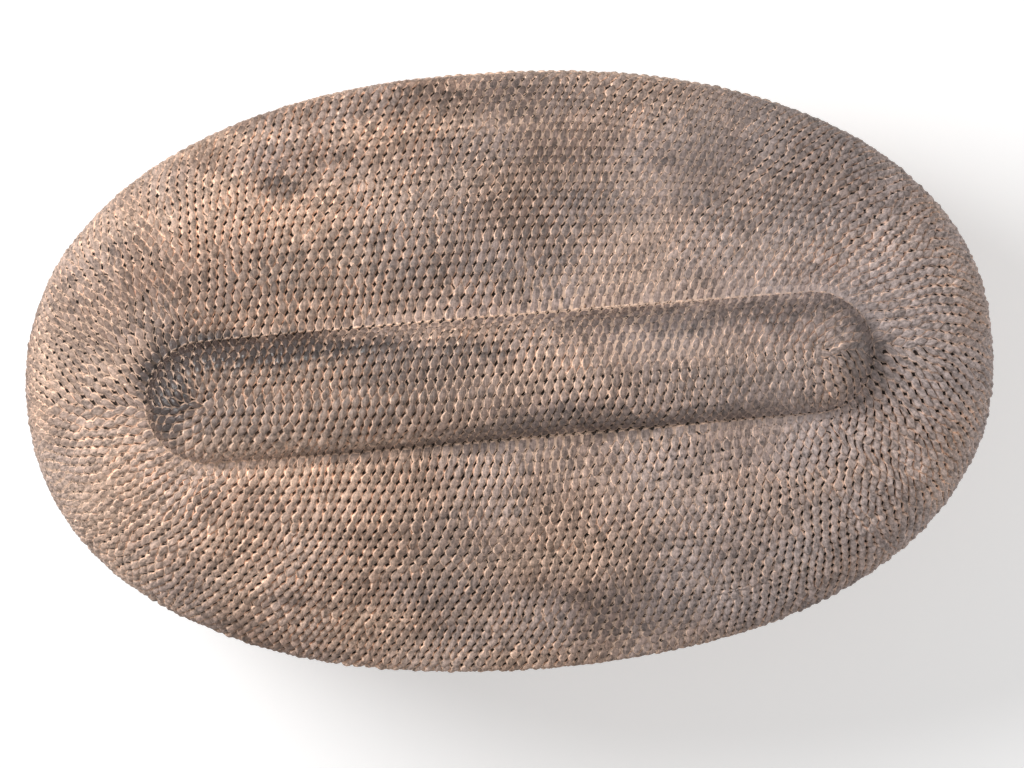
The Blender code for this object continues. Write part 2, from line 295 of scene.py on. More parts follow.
@dataclass
class Rows:
    """The rows of coil on a face.

    Attributes:
        edges: The joints between rows, as shares along each meridian, (rows + 1, AROUND).
        full: How much of each row's height is there, from 0 where a short row is absent to 1.
    """

    edges: Array
    full: Array

    @classmethod
    def between(cls, count: int, start: float | Array = 0.0, end: float | Array = 1.0) -> "Rows":
        """Lay a number of full rows of even height between two levels."""
        return cls.stacked(start, end, cls.unevenness(count, 0.05), np.ones((count, AROUND)))

    @classmethod
    def stacked(cls, start: float | Array, end: float | Array, heights: Array, full: Array) -> "Rows":
        """Lay rows of the given heights, in any unit, between two levels."""
        shares = np.vstack([np.zeros(AROUND), np.cumsum(heights / heights.sum(axis=0), axis=0)])
        return cls(start + (end - start) * shares, full)

    @classmethod
    def with_short_rows(cls, span: Array, bounds: tuple[Array, Array], count: int, height: float,
                        order: tuple[int, ...], slimming: float) -> "Rows":
        """Lay rows between two levels, with short rows where the face is longer.

        Args:
            span: How far apart the levels lie, along each meridian.
            bounds: The first and the last row's edge, as shares along the meridians.
            count: How many rows go all the way round.
            height: The height of a short row.
            order: For each short row, in the order sewn, its rank from longest to shortest.
            slimming: How much rows in the long sides slim from the first row to the last.

        Returns:
            The rows.
        """
        spare = (span - span.min()) / height
        every = count / (len(order) + 1)
        weights: list[Array] = []
        taken = 0
        for row in range(count):
            weights.append(np.ones(AROUND))
            if taken < len(order) and row + 1 >= every * (taken + 0.8):
                weights.append(eased((spare - order[taken]) / 0.6))
                taken += 1
        full = np.stack(weights)
        place = np.linspace(1.0, -1.0, len(full))[:, None]
        heights = full * (1 + slimming * spare / spare.max() * place) * cls.unevenness(len(full), 0.07)
        return cls.stacked(*bounds, heights, full)

    @staticmethod
    def unevenness(count: int, amount: float) -> Array:
        """Return factors by which rows swell and slim, each row as a whole and along itself."""
        random = np.random.default_rng(count)
        factors = 1 + random.normal(0.0, amount, (count, 1))
        for waves in ROW_WAVES:
            phase = random.random((count, 1)) * math.tau
            factors = factors + amount * WAVE_SHARE * np.sin(math.tau * waves * TURNS + phase)
        return np.clip(factors, SLIMMEST_ROW, WIDEST_ROW)

    def then(self, other: "Rows") -> "Rows":
        """Return these rows followed by another set."""
        return Rows(np.vstack([self.edges, other.edges[1:]]), np.vstack([self.full, other.full]))


@dataclass
class Sewing:
    """How the stitches of a face follow each other from row to row.

    Attributes:
        spacing: The stitches' usual distance along a row.
        shift: How far on each stitch lies from the one below it, in stitches.
        widest: The distance at which one more stitch is put in.
        closest: The distance at which one is left out.
        wander: How unevenly the stitches are set, in stitches.
    """

    spacing: float = 0.0039
    shift: float = -0.45
    widest: float = 0.0054
    closest: float = 0.0028
    wander: float = 0.06

    def places(self, surface: Surface, rows: Rows, seed: int) -> list[Array]:
        """Set the stitches of every row, each from the row before.

        Args:
            surface: The face that is sewn.
            rows: Its rows.
            seed: What the unevenness grows from.

        Returns:
            For each row, its stitches' places round the oval as rising shares.
        """
        random = np.random.default_rng(seed)
        ends = np.append(TURNS, 1.0)
        places: list[Array] = []
        before = None
        for row, full in enumerate(rows.full):
            line = surface.at(TURNS, (rows.edges[row] + rows.edges[row + 1]) / 2)
            onward = np.roll(line, -1, axis=0)
            reach = np.append(0.0, np.cumsum(np.linalg.norm(onward - line, axis=1)))
            whole = reach[-1]
            if before is None:
                count = 2 * max(int(round(whole / self.spacing / 2)), 3)
                spots = np.arange(count) / count * whole
            else:
                along = (onward - np.roll(line, 1, axis=0)) * AROUND / 2
                slip = -((line - before) * along).sum(axis=1) / (along ** 2).sum(axis=1)
                spots = places[-1] + np.interp(places[-1], TURNS, slip, period=1.0)
                shift = self.shift * np.interp(places[-1], TURNS, full, period=1.0)
                shift = shift + random.normal(0.0, self.wander, len(spots))
                turned = np.floor(spots)
                spots = np.interp(spots - turned, ends, reach) + turned * whole
                behind, ahead = neighbours(spots, whole)
                spots = self.evened(np.sort(spots + shift * (ahead - behind) / 2), whole)
            turned = np.floor(spots / whole)
            places.append(np.interp(spots - turned * whole, reach, ends) + turned)
            before = line
        return places

    def evened(self, spots: Array, whole: float) -> Array:
        """Put in or leave out stitches where they lie too far apart or too close.

        Args:
            spots: The row's stitches, as rising lengths along it.
            whole: The row's length.

        Returns:
            The row's stitches after the change.
        """
        for _ in range(SEARCHES):
            ahead = neighbours(spots, whole)[1]
            close = np.flatnonzero(ahead - spots < self.closest)
            close = close[np.append(True, np.diff(close) > 1)[:len(close)]]
            wide = np.flatnonzero(ahead - spots > self.widest)
            if not len(close) and not len(wide):
                break
            touched = np.zeros(len(spots))
            for met in (close, wide):
                touched[met] = touched[(met + 1) % len(spots)] = 1.0
            added = (spots[wide] + ahead[wide]) / 2
            spots = np.append(np.delete(spots, close), added)
            order = np.argsort(spots)
            spots, marks = spots[order], np.append(np.delete(touched, close), np.ones(len(added)))[order]
            for _ in range(SPREAD_STEPS):
                marks = np.maximum(marks, SPREAD_SHARE * np.maximum(np.roll(marks, 1), np.roll(marks, -1)))
            for _ in range(EASE_STEPS):
                behind, ahead = neighbours(spots, whole)
                spots = spots + EASE_SHARE * marks * ((ahead + behind) / 2 - spots)
        return spots


@dataclass(frozen=True)
class Stitch:
    """The shape of one stitch: a plump bead of root with pointed ends.

    Attributes:
        columns: Points across the bead.
        lines: Points along the bead.
        bunching: How much its points along gather at its two ends.
        reach: Its half length, in half row heights.
        fill: Its width, in stitch spacings.
        slimming: How slim its ends are.
        belly: How far its full width lasts towards its ends.
        notch: How much slimmer it is where the needle hole lies.
        rounding: How much its top falls towards its ends.
        lean: How far its end leans at the row's edge, in stitch spacings.
        height: Its rise over the seam beside it.
        root: How deep its edge goes down into the coil.
        swell: How unevenly high the stitches are.
        tilt: How unevenly high a stitch is from side to side and end to end, as a share of its height.
        overlap: How much higher it stands at its outer end, over the next row, as a share of its height.
    """

    columns: int = 7
    lines: int = 9
    bunching: float = 0.75
    reach: float = 1.88
    fill: float = 1.15
    slimming: float = 0.98
    belly: float = 1.8
    notch: float = 1.3
    rounding: float = 0.50
    lean: float = -0.08
    height: float = 0.0015
    root: float = 0.0012
    swell: float = 0.16
    tilt: float = 0.20
    overlap: float = 0.45

    def template(self) -> tuple[Array, Array, Array]:
        """Return the bead's own coordinates across and along, and how high it stands across."""
        axes = []
        across = (self.columns, BUNCHING_ACROSS, REACH_ACROSS, FOOT)
        along = (self.lines, self.bunching, REACH_ALONG, 1.0)
        for count, bunching, last, end in (across, along):
            inner = np.sin(np.linspace(-0.5, 0.5, count - 2) * math.pi * bunching)
            axes.append(np.concatenate([[-end], inner / inner.max() * last, [end]]))
        a, b = np.meshgrid(*axes)
        inner = (np.abs(a) < 1) & (np.abs(b) < 1)
        section = (1 - np.minimum(np.abs(a), 1) ** SECTION_OUTER) ** SECTION_INNER
        return a, b, np.where(inner, section, -1.0)


PLAIN_STITCH = Stitch(columns=5, lines=5)
WRAP = Stitch(columns=6, lines=15, bunching=0.02, reach=1.0, fill=1.03, slimming=0.06, notch=0.0,
              rounding=0.10, lean=-0.5, height=0.0009, root=0.0009, overlap=0.0)


@dataclass
class Field:
    """A field of stitches that lies on some rows of a face.

    Attributes:
        surface: The face.
        rows: Its rows.
        places: The stitches' places in each row.
        stitch: The stitches' shape.
        flow: -1 or 1, the way in which the stitches lean.
        relief: How high the stitches stand at given points, as a share, or None for 1.
        creases: The joints between rows that no stitch crosses, or None for the face's two edges.
    """

    surface: Surface
    rows: Rows
    places: list[Array]
    stitch: Stitch
    flow: float = 1.0
    relief: Callable[[Array], Array] | None = None
    creases: tuple[int, ...] | None = None

    def build(self, name: str, wanted: range, seed: int) -> Piece:
        """Make the stitches of some rows as one mesh.

        Args:
            name: The piece's name.
            wanted: The rows to make.
            seed: What the unevenness grows from.

        Returns:
            The piece.
        """
        random = np.random.default_rng(seed)
        turn, row, back, ahead, strand = self.gathered(wanted, random, LEAST_STITCH)
        a, b, side = self.stitch.template()
        relief, is_open = self.heights(turn, row)
        creases = (0, len(self.rows.full)) if self.creases is None else self.creases
        first, last = (np.where(np.isin(row + one, creases), 1 / self.stitch.reach, 1.0) for one in (0, 1))
        own = b * np.where(b < 0, first, last)
        far = np.minimum(np.abs(own), 1.0)
        notch = np.where(a * b * self.flow > 0, 1 + self.stitch.notch * (0.5 + 1.5 * is_open), 1.0)
        taper = np.maximum((1 - far ** self.stitch.belly) ** (notch * self.stitch.slimming), LEAST_TAPER)
        rise = np.where(side < 0, -1.0, side * (1 - far ** 2.4) ** self.stitch.rounding)
        lean = (self.stitch.lean * self.flow + random.normal(0.0, 0.02, turn.shape)) * (back + ahead)
        v = own * self.stitch.reach
        slip = v * (lean - self.slant(turn, row))
        turns = turn + a * taper * self.stitch.fill * np.where(a < 0, back, ahead) + slip
        loose = WORN_LOOSENESS + (1 - WORN_LOOSENESS) * is_open
        swell = (1 + random.normal(0.0, self.stitch.swell, turn.shape) * loose) * relief
        sideways, endways = random.normal(0.0, self.stitch.tilt, (2, *turn.shape)) * loose
        swell = swell * (1 + sideways * a + (endways + self.stitch.overlap) * own)
        swell = np.clip(swell, LEAST_SWELL, MOST_SWELL)
        sunk = np.where(rise < 0, -self.stitch.root, (rise * swell - 1) * self.stitch.height)
        points = self.surface.at(turns, self.share(turns, row, v), sunk)
        marks = {"tone": random.random(turn.shape), "strand": strand, "open": is_open}
        return self.mesh(name, points, (a, b), marks, closed=True)

    def build_bed(self, name: str, wanted: range) -> Piece:
        """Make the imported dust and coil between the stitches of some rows, with a needle hole at each."""
        turn, row, back, ahead, _ = self.gathered(wanted, np.random.default_rng(0), LEAST_BED)
        a, v = np.meshgrid(BED_COLUMNS, BED_LINES)
        turns = turn + a * np.where(a < 0, back, ahead)
        relief, is_open = self.heights(turn, row)
        hole = 0.50 + 0.75 * np.clip((relief - 0.75) / 0.45, 0.0, 1.0)
        hole = hole * (read_row(self.rows.full, row, turn) > 0.6)
        at_hole = (np.abs(v) == 1) & (a == v * self.flow * HOLE)
        depth = np.where(at_hole, HOLE_DEPTH, 0.0) * np.minimum(hole, 1.0)
        sunk = (BED_SHARE * relief * (1.0 - 0.75 * is_open) - 1 - depth) * self.stitch.height
        points = self.surface.at(turns, self.share(turns, row, v), sunk)
        return self.mesh(name, points, (a * self.flow, v), {"hole": hole, "open": is_open}, closed=False)

    def share(self, turns: Array, row: Array, v: float | Array) -> Array:
        """Return places along the meridians that lie v half rows out from their rows' middles."""
        below, above = (read_row(self.rows.edges, row + one, turns) for one in (0, 1))
        return (below + above) / 2 + v * (above - below) / 2

    def heights(self, turn: Array, row: Array) -> tuple[Array, Array]:
        """Return how high the stitches stand, as shares, and how open the face is there, from 0 to 1."""
        relief = np.ones(turn.shape)
        if self.relief is not None:
            relief = self.relief(self.surface.at(turn, self.share(turn, row, 0.0)))
        return relief, np.clip((relief - OPEN_FROM) / OPEN_OVER, 0.0, 1.0)

    def gathered(self, wanted: range, random: np.random.Generator, least: float) -> tuple[Array, ...]:
        """Gather the stitches of some rows.

        Args:
            wanted: The rows.
            random: Where the lengths and tones of the strands come from.
            least: How much of a row's height must be there for a stitch to be made.

        Returns:
            The stitches' places and rows, how far each reaches back and ahead, and the tone of the
            strand that it is sewn with, each as (stitches, 1, 1).
        """
        found = []
        for row in wanted:
            spots = self.places[row]
            kept = read_row(self.rows.full, row, spots) > least
            strands = np.cumsum(random.random(len(spots)) < 0.035)
            tones = random.random(strands[-1] + 1)[strands]
            back = (spots - neighbours(spots)[0]) / 2
            back = np.minimum(back, 1.6 * np.median(back))
            values = (spots, np.full(len(spots), row), back, np.roll(back, -1), tones)
            found.append([value[kept] for value in values])
        return tuple(np.concatenate(values)[:, None, None] for values in zip(*found))

    def slant(self, turn: Array, row: Array) -> Array:
        """Return how far round the oval the meridians slip against the rows, over half a row."""
        near, middle, far = (self.share(turn, row, v) for v in (-1.0, 0.0, 1.0))
        over = self.surface.at(turn, far) - self.surface.at(turn, near)
        small = 0.5 / AROUND
        along = (self.surface.at(turn + small, middle) - self.surface.at(turn - small, middle)) / (2 * small)
        return (over * along).sum(axis=-1) / np.maximum((along ** 2).sum(axis=-1), 1e-12) / 2

    def mesh(self, name: str, points: Array, template: tuple[Array, Array], marks: dict[str, Array],
             closed: bool) -> Piece:
        """Turn the stitches' points into a mesh with its marks and its two maps.

        Args:
            name: The piece's name.
            points: The points, as (stitches, lines, columns, 3).
            template: The bead's own coordinates, across and along.
            marks: A value for each stitch, by name.
            closed: Whether each stitch is closed underneath.

        Returns:
            The piece.
        """
        count, lines, columns, _ = points.shape
        grid = np.arange(lines * columns).reshape(lines, columns)
        quads = np.stack([grid[:-1, :-1], grid[:-1, 1:], grid[1:, 1:], grid[1:, :-1]], axis=-1).reshape(-1, 4)
        edge = np.concatenate([grid[0, :-1], grid[:-1, -1], grid[-1, :0:-1], grid[:0:-1, 0]])
        step = -1 if self.surface.facing is Facing.WITH else 1
        loops, sizes = quads[:, ::step].ravel(), np.full(len(quads), 4)
        if closed:
            loops, sizes = np.append(loops, edge[::-step]), np.append(sizes, len(edge))
        own = np.stack([coordinate.ravel()[loops] for coordinate in template], axis=1)
        side = int(math.ceil(math.sqrt(count)))
        cell = np.stack([np.arange(count) % side, np.arange(count) // side], axis=1)
        inside = own / FOOT * 0.46 + 0.5
        inside[len(quads) * 4:] = 0.01
        maps = {
            "OFBake": ((cell[:, None, :] + inside[None]) / side).reshape(-1, 2),
            "thread": np.broadcast_to(own, (count, *own.shape)).reshape(-1, 2),
        }
        spread = {key: np.repeat(value, lines * columns) for key, value in marks.items()}
        corners = (loops + np.arange(count)[:, None] * lines * columns).ravel()
        return new_piece(name, points.reshape(-1, 3), corners, np.tile(sizes, count), maps, spread)


@dataclass
class Core:
    """The dark coils inside, as closed shells under the stitches.

    Attributes:
        shells: For each shell, its rings and whether its last ring joins its first.
        around: Points round each ring.
    """

    shells: list[tuple[Array, bool]] = field(default_factory=list)
    around: int = 360

    def rings(self, surface: Surface, count: int, depth: float, end: float = 1.0) -> Array:
        """Take rings from under a face, up to a share of its meridians, as (count, around, 3)."""
        turns = np.arange(self.around) / self.around
        share, turn = np.meshgrid(np.linspace(0.0, end, count), turns, indexing="ij")
        return surface.at(turn, share, -depth)

    def add(self, *rings: Array, hoop: bool = False) -> None:
        """Add a shell through rings, either a hoop or closed at both its ends."""
        self.shells.append((np.concatenate(rings), hoop))

    def build(self, name: str) -> Piece:
        """Make all the shells as one mesh."""
        points, loops, places = [], [], []
        first = band = 0
        bands = sum(len(rings) + 1 for rings, _ in self.shells)
        for rings, hoop in self.shells:
            index = first + np.arange(len(rings) * self.around).reshape(len(rings), self.around)
            onward = np.vstack([index, index[:1]]) if hoop else index
            near, far = onward[:-1], onward[1:]
            quads = np.stack([near, far, np.roll(far, -1, 1), np.roll(near, -1, 1)], axis=-1)
            loops.append(quads.reshape(-1, 4))
            steps, turns = np.meshgrid(np.arange(len(near)), np.arange(self.around), indexing="ij")
            u = np.stack([turns, turns, turns + 1, turns + 1], axis=-1) / self.around
            v = (np.stack([steps, steps + 1, steps + 1, steps], axis=-1) + band) / bands
            points.append(rings.reshape(-1, 3))
            places.append(np.stack([u, v], axis=-1).reshape(-1, 2))
            for ring, order in () if hoop else ((index[0], 1), (index[-1], -1)):
                rungs = np.arange(1, self.around // 2 - 1)
                ladder = np.stack([ring[rungs], ring[rungs + 1], ring[-rungs - 1], ring[-rungs]], axis=-1)
                loops.append(ladder[:, ::order])
                places.append(np.tile([[0.0, 0.999]], (ladder.size, 1)))
            first += index.size
            band += len(rings) + 1
        corners = np.concatenate(loops)
        maps = {"OFBake": np.concatenate(places)}
        return new_piece(name, np.concatenate(points), corners.ravel(), np.full(len(corners), 4), maps, {})


def new_piece(name: str, points: Array, corners: Array, sizes: Array, maps: dict[str, Array],
              marks: dict[str, Array]) -> Piece:
    """Make a smooth mesh piece from arrays.

    Args:
        name: The piece's name.
        points: Its points.
        corners: The points of its faces, one face after another.
        sizes: The number of points of each face.
        maps: Its maps, by name, with a place for each corner.
        marks: Values for each point, by name.

    Returns:
        The piece, linked to the scene.
    """
    mesh = bpy.data.meshes.new(name)
    mesh.vertices.add(len(points))
    mesh.vertices.foreach_set("co", points.astype(np.float32).ravel())
    mesh.loops.add(len(corners))
    mesh.loops.foreach_set("vertex_index", corners.astype(np.int32))
    mesh.polygons.add(len(sizes))
    mesh.polygons.foreach_set("loop_start", np.append(0, np.cumsum(sizes)[:-1]).astype(np.int32))
    mesh.update(calc_edges=True)
    for key, value in maps.items():
        mesh.uv_layers.new(name=key).data.foreach_set("uv", value.astype(np.float32).ravel())
    for key, value in marks.items():
        mesh.attributes.new(key, "FLOAT", "POINT").data.foreach_set("value", value.astype(np.float32))
    mesh.shade_smooth()
    piece = bpy.data.objects.new(name, mesh)
    bpy.context.scene.collection.objects.link(piece)
    LOG.info("%s: %d faces", name, len(sizes))
    return piece


def dress(piece: Piece, body: str, node: str, material: Material, *others: str) -> None:
    """Ride a piece on its body, let it stand for its solids and give it its material.

    Args:
        piece: The piece.
        body: The body that it moves with.
        node: The solid that it stands for.
        material: Its material.
        *others: More solids that it stands for.
    """
    piece.data.materials.append(material)
    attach(piece, body)
    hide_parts(node, *others)


def paint(colour: Colour) -> tuple[float, float, float, float]:
    """Turn a colour as seen on a screen, 0 to 255, into the renderer's own values."""
    parts = [value / 255 for value in colour]
    red, green, blue = (v / 12.92 if v <= 0.04045 else ((v + 0.055) / 1.055) ** 2.4 for v in parts)
    return red, green, blue, 1.0


@dataclass
class Graph:
    """A tree of shader nodes that is filled through short calls.

    Attributes:
        tree: The tree.
        given: A group's inputs.
        result: A group's output node.
    """

    tree: bpy.types.NodeTree
    given: bpy.types.NodeOutputs | None = None
    result: bpy.types.Node | None = None

    @classmethod
    def group(cls, name: str, inputs: tuple[str, ...], outputs: tuple[str, ...]) -> "Graph":
        """Start a node group with named inputs and outputs; all are values, but Place is a vector."""
        tree = bpy.data.node_groups.new(name, "ShaderNodeTree")
        for way, keys in (("INPUT", inputs), ("OUTPUT", outputs)):
            for key in keys:
                kind = "NodeSocketVector" if key == "Place" else "NodeSocketFloat"
                tree.interface.new_socket(name=key, in_out=way, socket_type=kind)
        return cls(tree, tree.nodes.new("NodeGroupInput").outputs, tree.nodes.new("NodeGroupOutput"))

    def give(self, name: str, value: Value) -> None:
        """Put out a group's result."""
        self.feed(self.result.inputs[name], value)

    def feed(self, socket: Socket, value: Value) -> None:
        """Link a value to a socket, or set it there."""
        if isinstance(value, Socket):
            self.tree.links.new(value, socket)
        elif value is not None:
            socket.default_value = value

    def add(self, kind: str, inputs: dict[str, Value] | None = None, **settings: object) -> bpy.types.Node:
        """Place a node.

        Args:
            kind: The node's kind, without the words that all kinds start with.
            inputs: What goes into its named inputs.
            **settings: The node's own settings.

        Returns:
            The node.
        """
        node = self.tree.nodes.new("ShaderNode" + kind)
        for key, value in settings.items():
            setattr(node, key, value)
        for key, value in (inputs or {}).items():
            self.feed(node.inputs[key], value)
        return node

    def use(self, group: "Graph", **inputs: Value) -> bpy.types.NodeOutputs:
        """Place a group and return its outputs."""
        return self.add("Group", inputs, node_tree=group.tree).outputs

    def mark(self, name: str) -> Socket:
        """Return one of the piece's own values."""
        return self.add("Attribute", attribute_name=name).outputs["Fac"]

    def math(self, operation: str, *values: Value, clamp: bool = False) -> Socket:
        """Work out a number from numbers."""
        node = self.add("Math", operation=operation, use_clamp=clamp)
        for socket, value in zip(node.inputs, values):
            self.feed(socket, value)
        return node.outputs[0]

    def times(self, value: Value, factor: Value, more: Value = 0.0) -> Socket:
        """Multiply a number by a factor and add more."""
        return self.math("MULTIPLY_ADD", value, factor, more)

    def vector(self, operation: str, *values: Value) -> Socket:
        """Work out a vector from vectors, a vector's length, or a vector scaled by a number."""
        node = self.add("VectorMath", operation=operation)
        sockets = (node.inputs[0], node.inputs["Scale"]) if operation == "SCALE" else node.inputs
        for socket, value in zip(sockets, values):
            self.feed(socket, value)
        return node.outputs["Value" if operation == "LENGTH" else "Vector"]

    def combine(self, x: Value, y: Value, z: Value = 0.0) -> Socket:
        """Make a vector from three numbers."""
        return self.add("CombineXYZ", {"X": x, "Y": y, "Z": z}).outputs[0]

    def split(self, vector: Value) -> bpy.types.NodeOutputs:
        """Return a vector's three numbers, by name."""
        return self.add("SeparateXYZ", {"Vector": vector}).outputs

    def step(self, value: Value, low: float, high: float, start: float = 0.0, end: float = 1.0) -> Socket:
        """Ease from start to end while the value goes from low to high."""
        inputs = {"Value": value, "From Min": low, "From Max": high, "To Min": start, "To Max": end}
        return self.add("MapRange", inputs, interpolation_type="SMOOTHSTEP").outputs["Result"]

    def noise(self, place: Value, scale: float, detail: float = 2.0, roughness: float = 0.5,
              output: int = 0) -> Socket:
        """Return an even noise, as a number or, with output 1, as a vector."""
        inputs = {"Vector": place, "Scale": scale, "Detail": detail, "Roughness": roughness}
        return self.add("TexNoise", inputs).outputs[output]

    def mix(self, share: Value, first: Value | Colour, second: Colour) -> Socket:
        """Mix a colour, or a socket that carries one, with another colour."""
        node = self.add("Mix", data_type="RGBA")
        first = first if isinstance(first, Socket) else paint(first)
        for index, value in ((0, share), (6, first), (7, paint(second))):
            self.feed(node.inputs[index], value)
        return node.outputs[2]

    def bump(self, strength: float, distance: float, height: Value) -> Socket:
        """Return normals that follow a height."""
        return self.add("Bump", {"Strength": strength, "Distance": distance, "Height": height}).outputs[0]


def new_material(name: str) -> tuple[Material, Graph, bpy.types.NodeInputs]:
    """Start a material, and return it with its graph and its shader's inputs."""
    material = bpy.data.materials.new(name)
    material.use_nodes = True
    graph = Graph(material.node_tree)
    return material, graph, graph.tree.nodes["Principled BSDF"].inputs


# Where the lid's top is darkest, from stains and from painted shade in the crease along the ridge's lower
# foot: its place in X and Y, its reach both ways, and its strength
STAINS_AND_SHADE = (
    (-0.062, 0.048, 0.050, 0.019, 0.50),
    (-0.148, 0.046, 0.026, 0.020, 0.05),
    (-0.030, -0.080, 0.024, 0.026, 0.38),
    (-0.098, 0.0165, 0.058, 0.0085, 1.00),
    (0.030, -0.020, 0.070, 0.0050, 0.55),
    (0.080, 0.020, 0.070, 0.0055, 0.55),
    (0.085, -0.004, 0.040, 0.006, 0.35),
    (-0.138, 0.004, 0.015, 0.024, 1.00),
    (-0.100, -0.006, 0.050, 0.015, 0.28),
    (0.147, 0.000, 0.013, 0.018, 0.45),
    (-0.100, 0.030, 0.060, 0.010, 0.35),
    (-0.020, 0.014, 0.030, 0.005, 0.55),
    (0.045, -0.096, 0.030, 0.012, 0.35),
    (0.110, 0.080, 0.050, 0.040, 0.45),
    (-0.178, 0.010, 0.008, 0.040, 0.25),
    (-0.090, 0.083, 0.012, 0.006, 0.70),
    (0.005, 0.066, 0.055, 0.036, 0.42),
    (0.020, 0.112, 0.090, 0.010, 0.40),
    # Painted shade: the dark band in the crease along the ridge's lower foot
    (-0.040, -0.027, 0.060, 0.004, 0.60),
    (-0.085, -0.002, 0.078, 0.023, 0.50),
)


class Effects:
    """The node groups that the finishes share."""

    def __init__(self) -> None:
        """Make each group once."""
        self.fibre = self.make_fibre()
        self.crevice = self.make_crevice()
        self.weather = self.make_weather()
        self.stains_and_shade = self.make_stains_and_shade()

    @staticmethod
    def make_fibre() -> Graph:
        """Streaks that run along a stitch of split root."""
        graph = Graph.group("root_fibre", ("Across", "Along", "Seed"), ("Streak", "Height"))
        across, along, seed = (graph.given[key] for key in ("Across", "Along", "Seed"))
        seed = graph.times(seed, 91.0)
        broad = graph.combine(graph.times(across, 1.3), graph.times(along, 0.5), seed)
        fine = graph.combine(graph.times(across, 1.9), graph.times(along, 0.6), seed)
        graph.give("Streak", graph.step(graph.noise(broad, 1.5, 2.0, 0.6), 0.36, 0.64))
        graph.give("Height", graph.noise(fine, 1.5, 2.0, 0.6))
        return graph

    @staticmethod
    def make_crevice() -> Graph:
        """Where dust lies along a stitch's edges."""
        graph = Graph.group("crevice", ("Across", "Along", "Seed"), ("Line",))
        across, along, seed = (graph.given[key] for key in ("Across", "Along", "Seed"))
        place = graph.combine(across, along, graph.times(seed, 57.0))
        wander = graph.times(graph.noise(place, 2.2, 3.0, 0.65), 0.5, -0.25)
        along = graph.times(graph.math("ABSOLUTE", along), 0.97)
        edge = graph.math("SMOOTH_MAX", graph.math("ABSOLUTE", across), along, 0.15)
        graph.give("Line", graph.step(graph.math("ADD", edge, wander), 0.58, 0.78))
        return graph

    @staticmethod
    def make_weather() -> Graph:
        """Uneven dust, fading and greying all over, which follows the rows."""
        graph = Graph.group("weather", ("Place", "Strand", "Tone"), ("Dust", "Grey", "Shade"))
        place = graph.given["Place"]
        broad = graph.noise(place, 9.0, 3.0, 0.55)
        drawn = graph.noise(graph.vector("MULTIPLY", place, (11.0, 48.0, 48.0)), 1.0, 3.0, 0.55)
        patch = graph.noise(graph.vector("ADD", place, (3.0, 1.0, 7.0)), 24.0, 3.0, 0.6)
        graph.give("Dust", graph.step(graph.times(broad, 0.5, graph.times(drawn, 0.5)), 0.36, 0.66))
        graph.give("Grey", graph.step(patch, 0.35, 0.68))
        shade = graph.times(graph.given["Strand"], 0.45, graph.times(patch, 0.45))
        shade = graph.times(graph.given["Tone"], 0.35, shade)
        graph.give("Shade", graph.math("SUBTRACT", shade, 0.2, clamp=True))
        return graph

    @staticmethod
    def make_stains_and_shade() -> Graph:
        """The lid's dark patches, mostly handled stains, with painted shade in the crease along the ridge's
        lower foot, and how it pales from right to left.
        """
        graph = Graph.group("lid_stains_and_shade", ("Place",), ("StainAndShade", "Left", "Right"))
        place = graph.given["Place"]
        cloud = graph.vector("SUBTRACT", graph.noise(place, 38.0, 4.0, 0.62, output=1), (0.5, 0.5, 0.5))
        shift = graph.vector("MULTIPLY", cloud, (0.034, 0.026, 0.0))
        flat = graph.vector("ADD", graph.vector("MULTIPLY", place, (1.0, 1.0, 0.0)), shift)
        total: Value = 0.0
        for x, y, long, wide, strength in STAINS_AND_SHADE:
            off = graph.vector("SUBTRACT", flat, (x, y, 0.0))
            reach = graph.vector("LENGTH", graph.vector("MULTIPLY", off, (1 / long, 1 / wide, 0.0)))
            total = graph.math("MAXIMUM", total, graph.step(reach, 0.55, 1.25, strength, 0.0))
        graph.give("StainAndShade", total)
        x = graph.split(flat)["X"]
        graph.give("Left", graph.step(x, -0.06, -0.19))
        graph.give("Right", graph.step(x, 0.0, 0.17))
        return graph


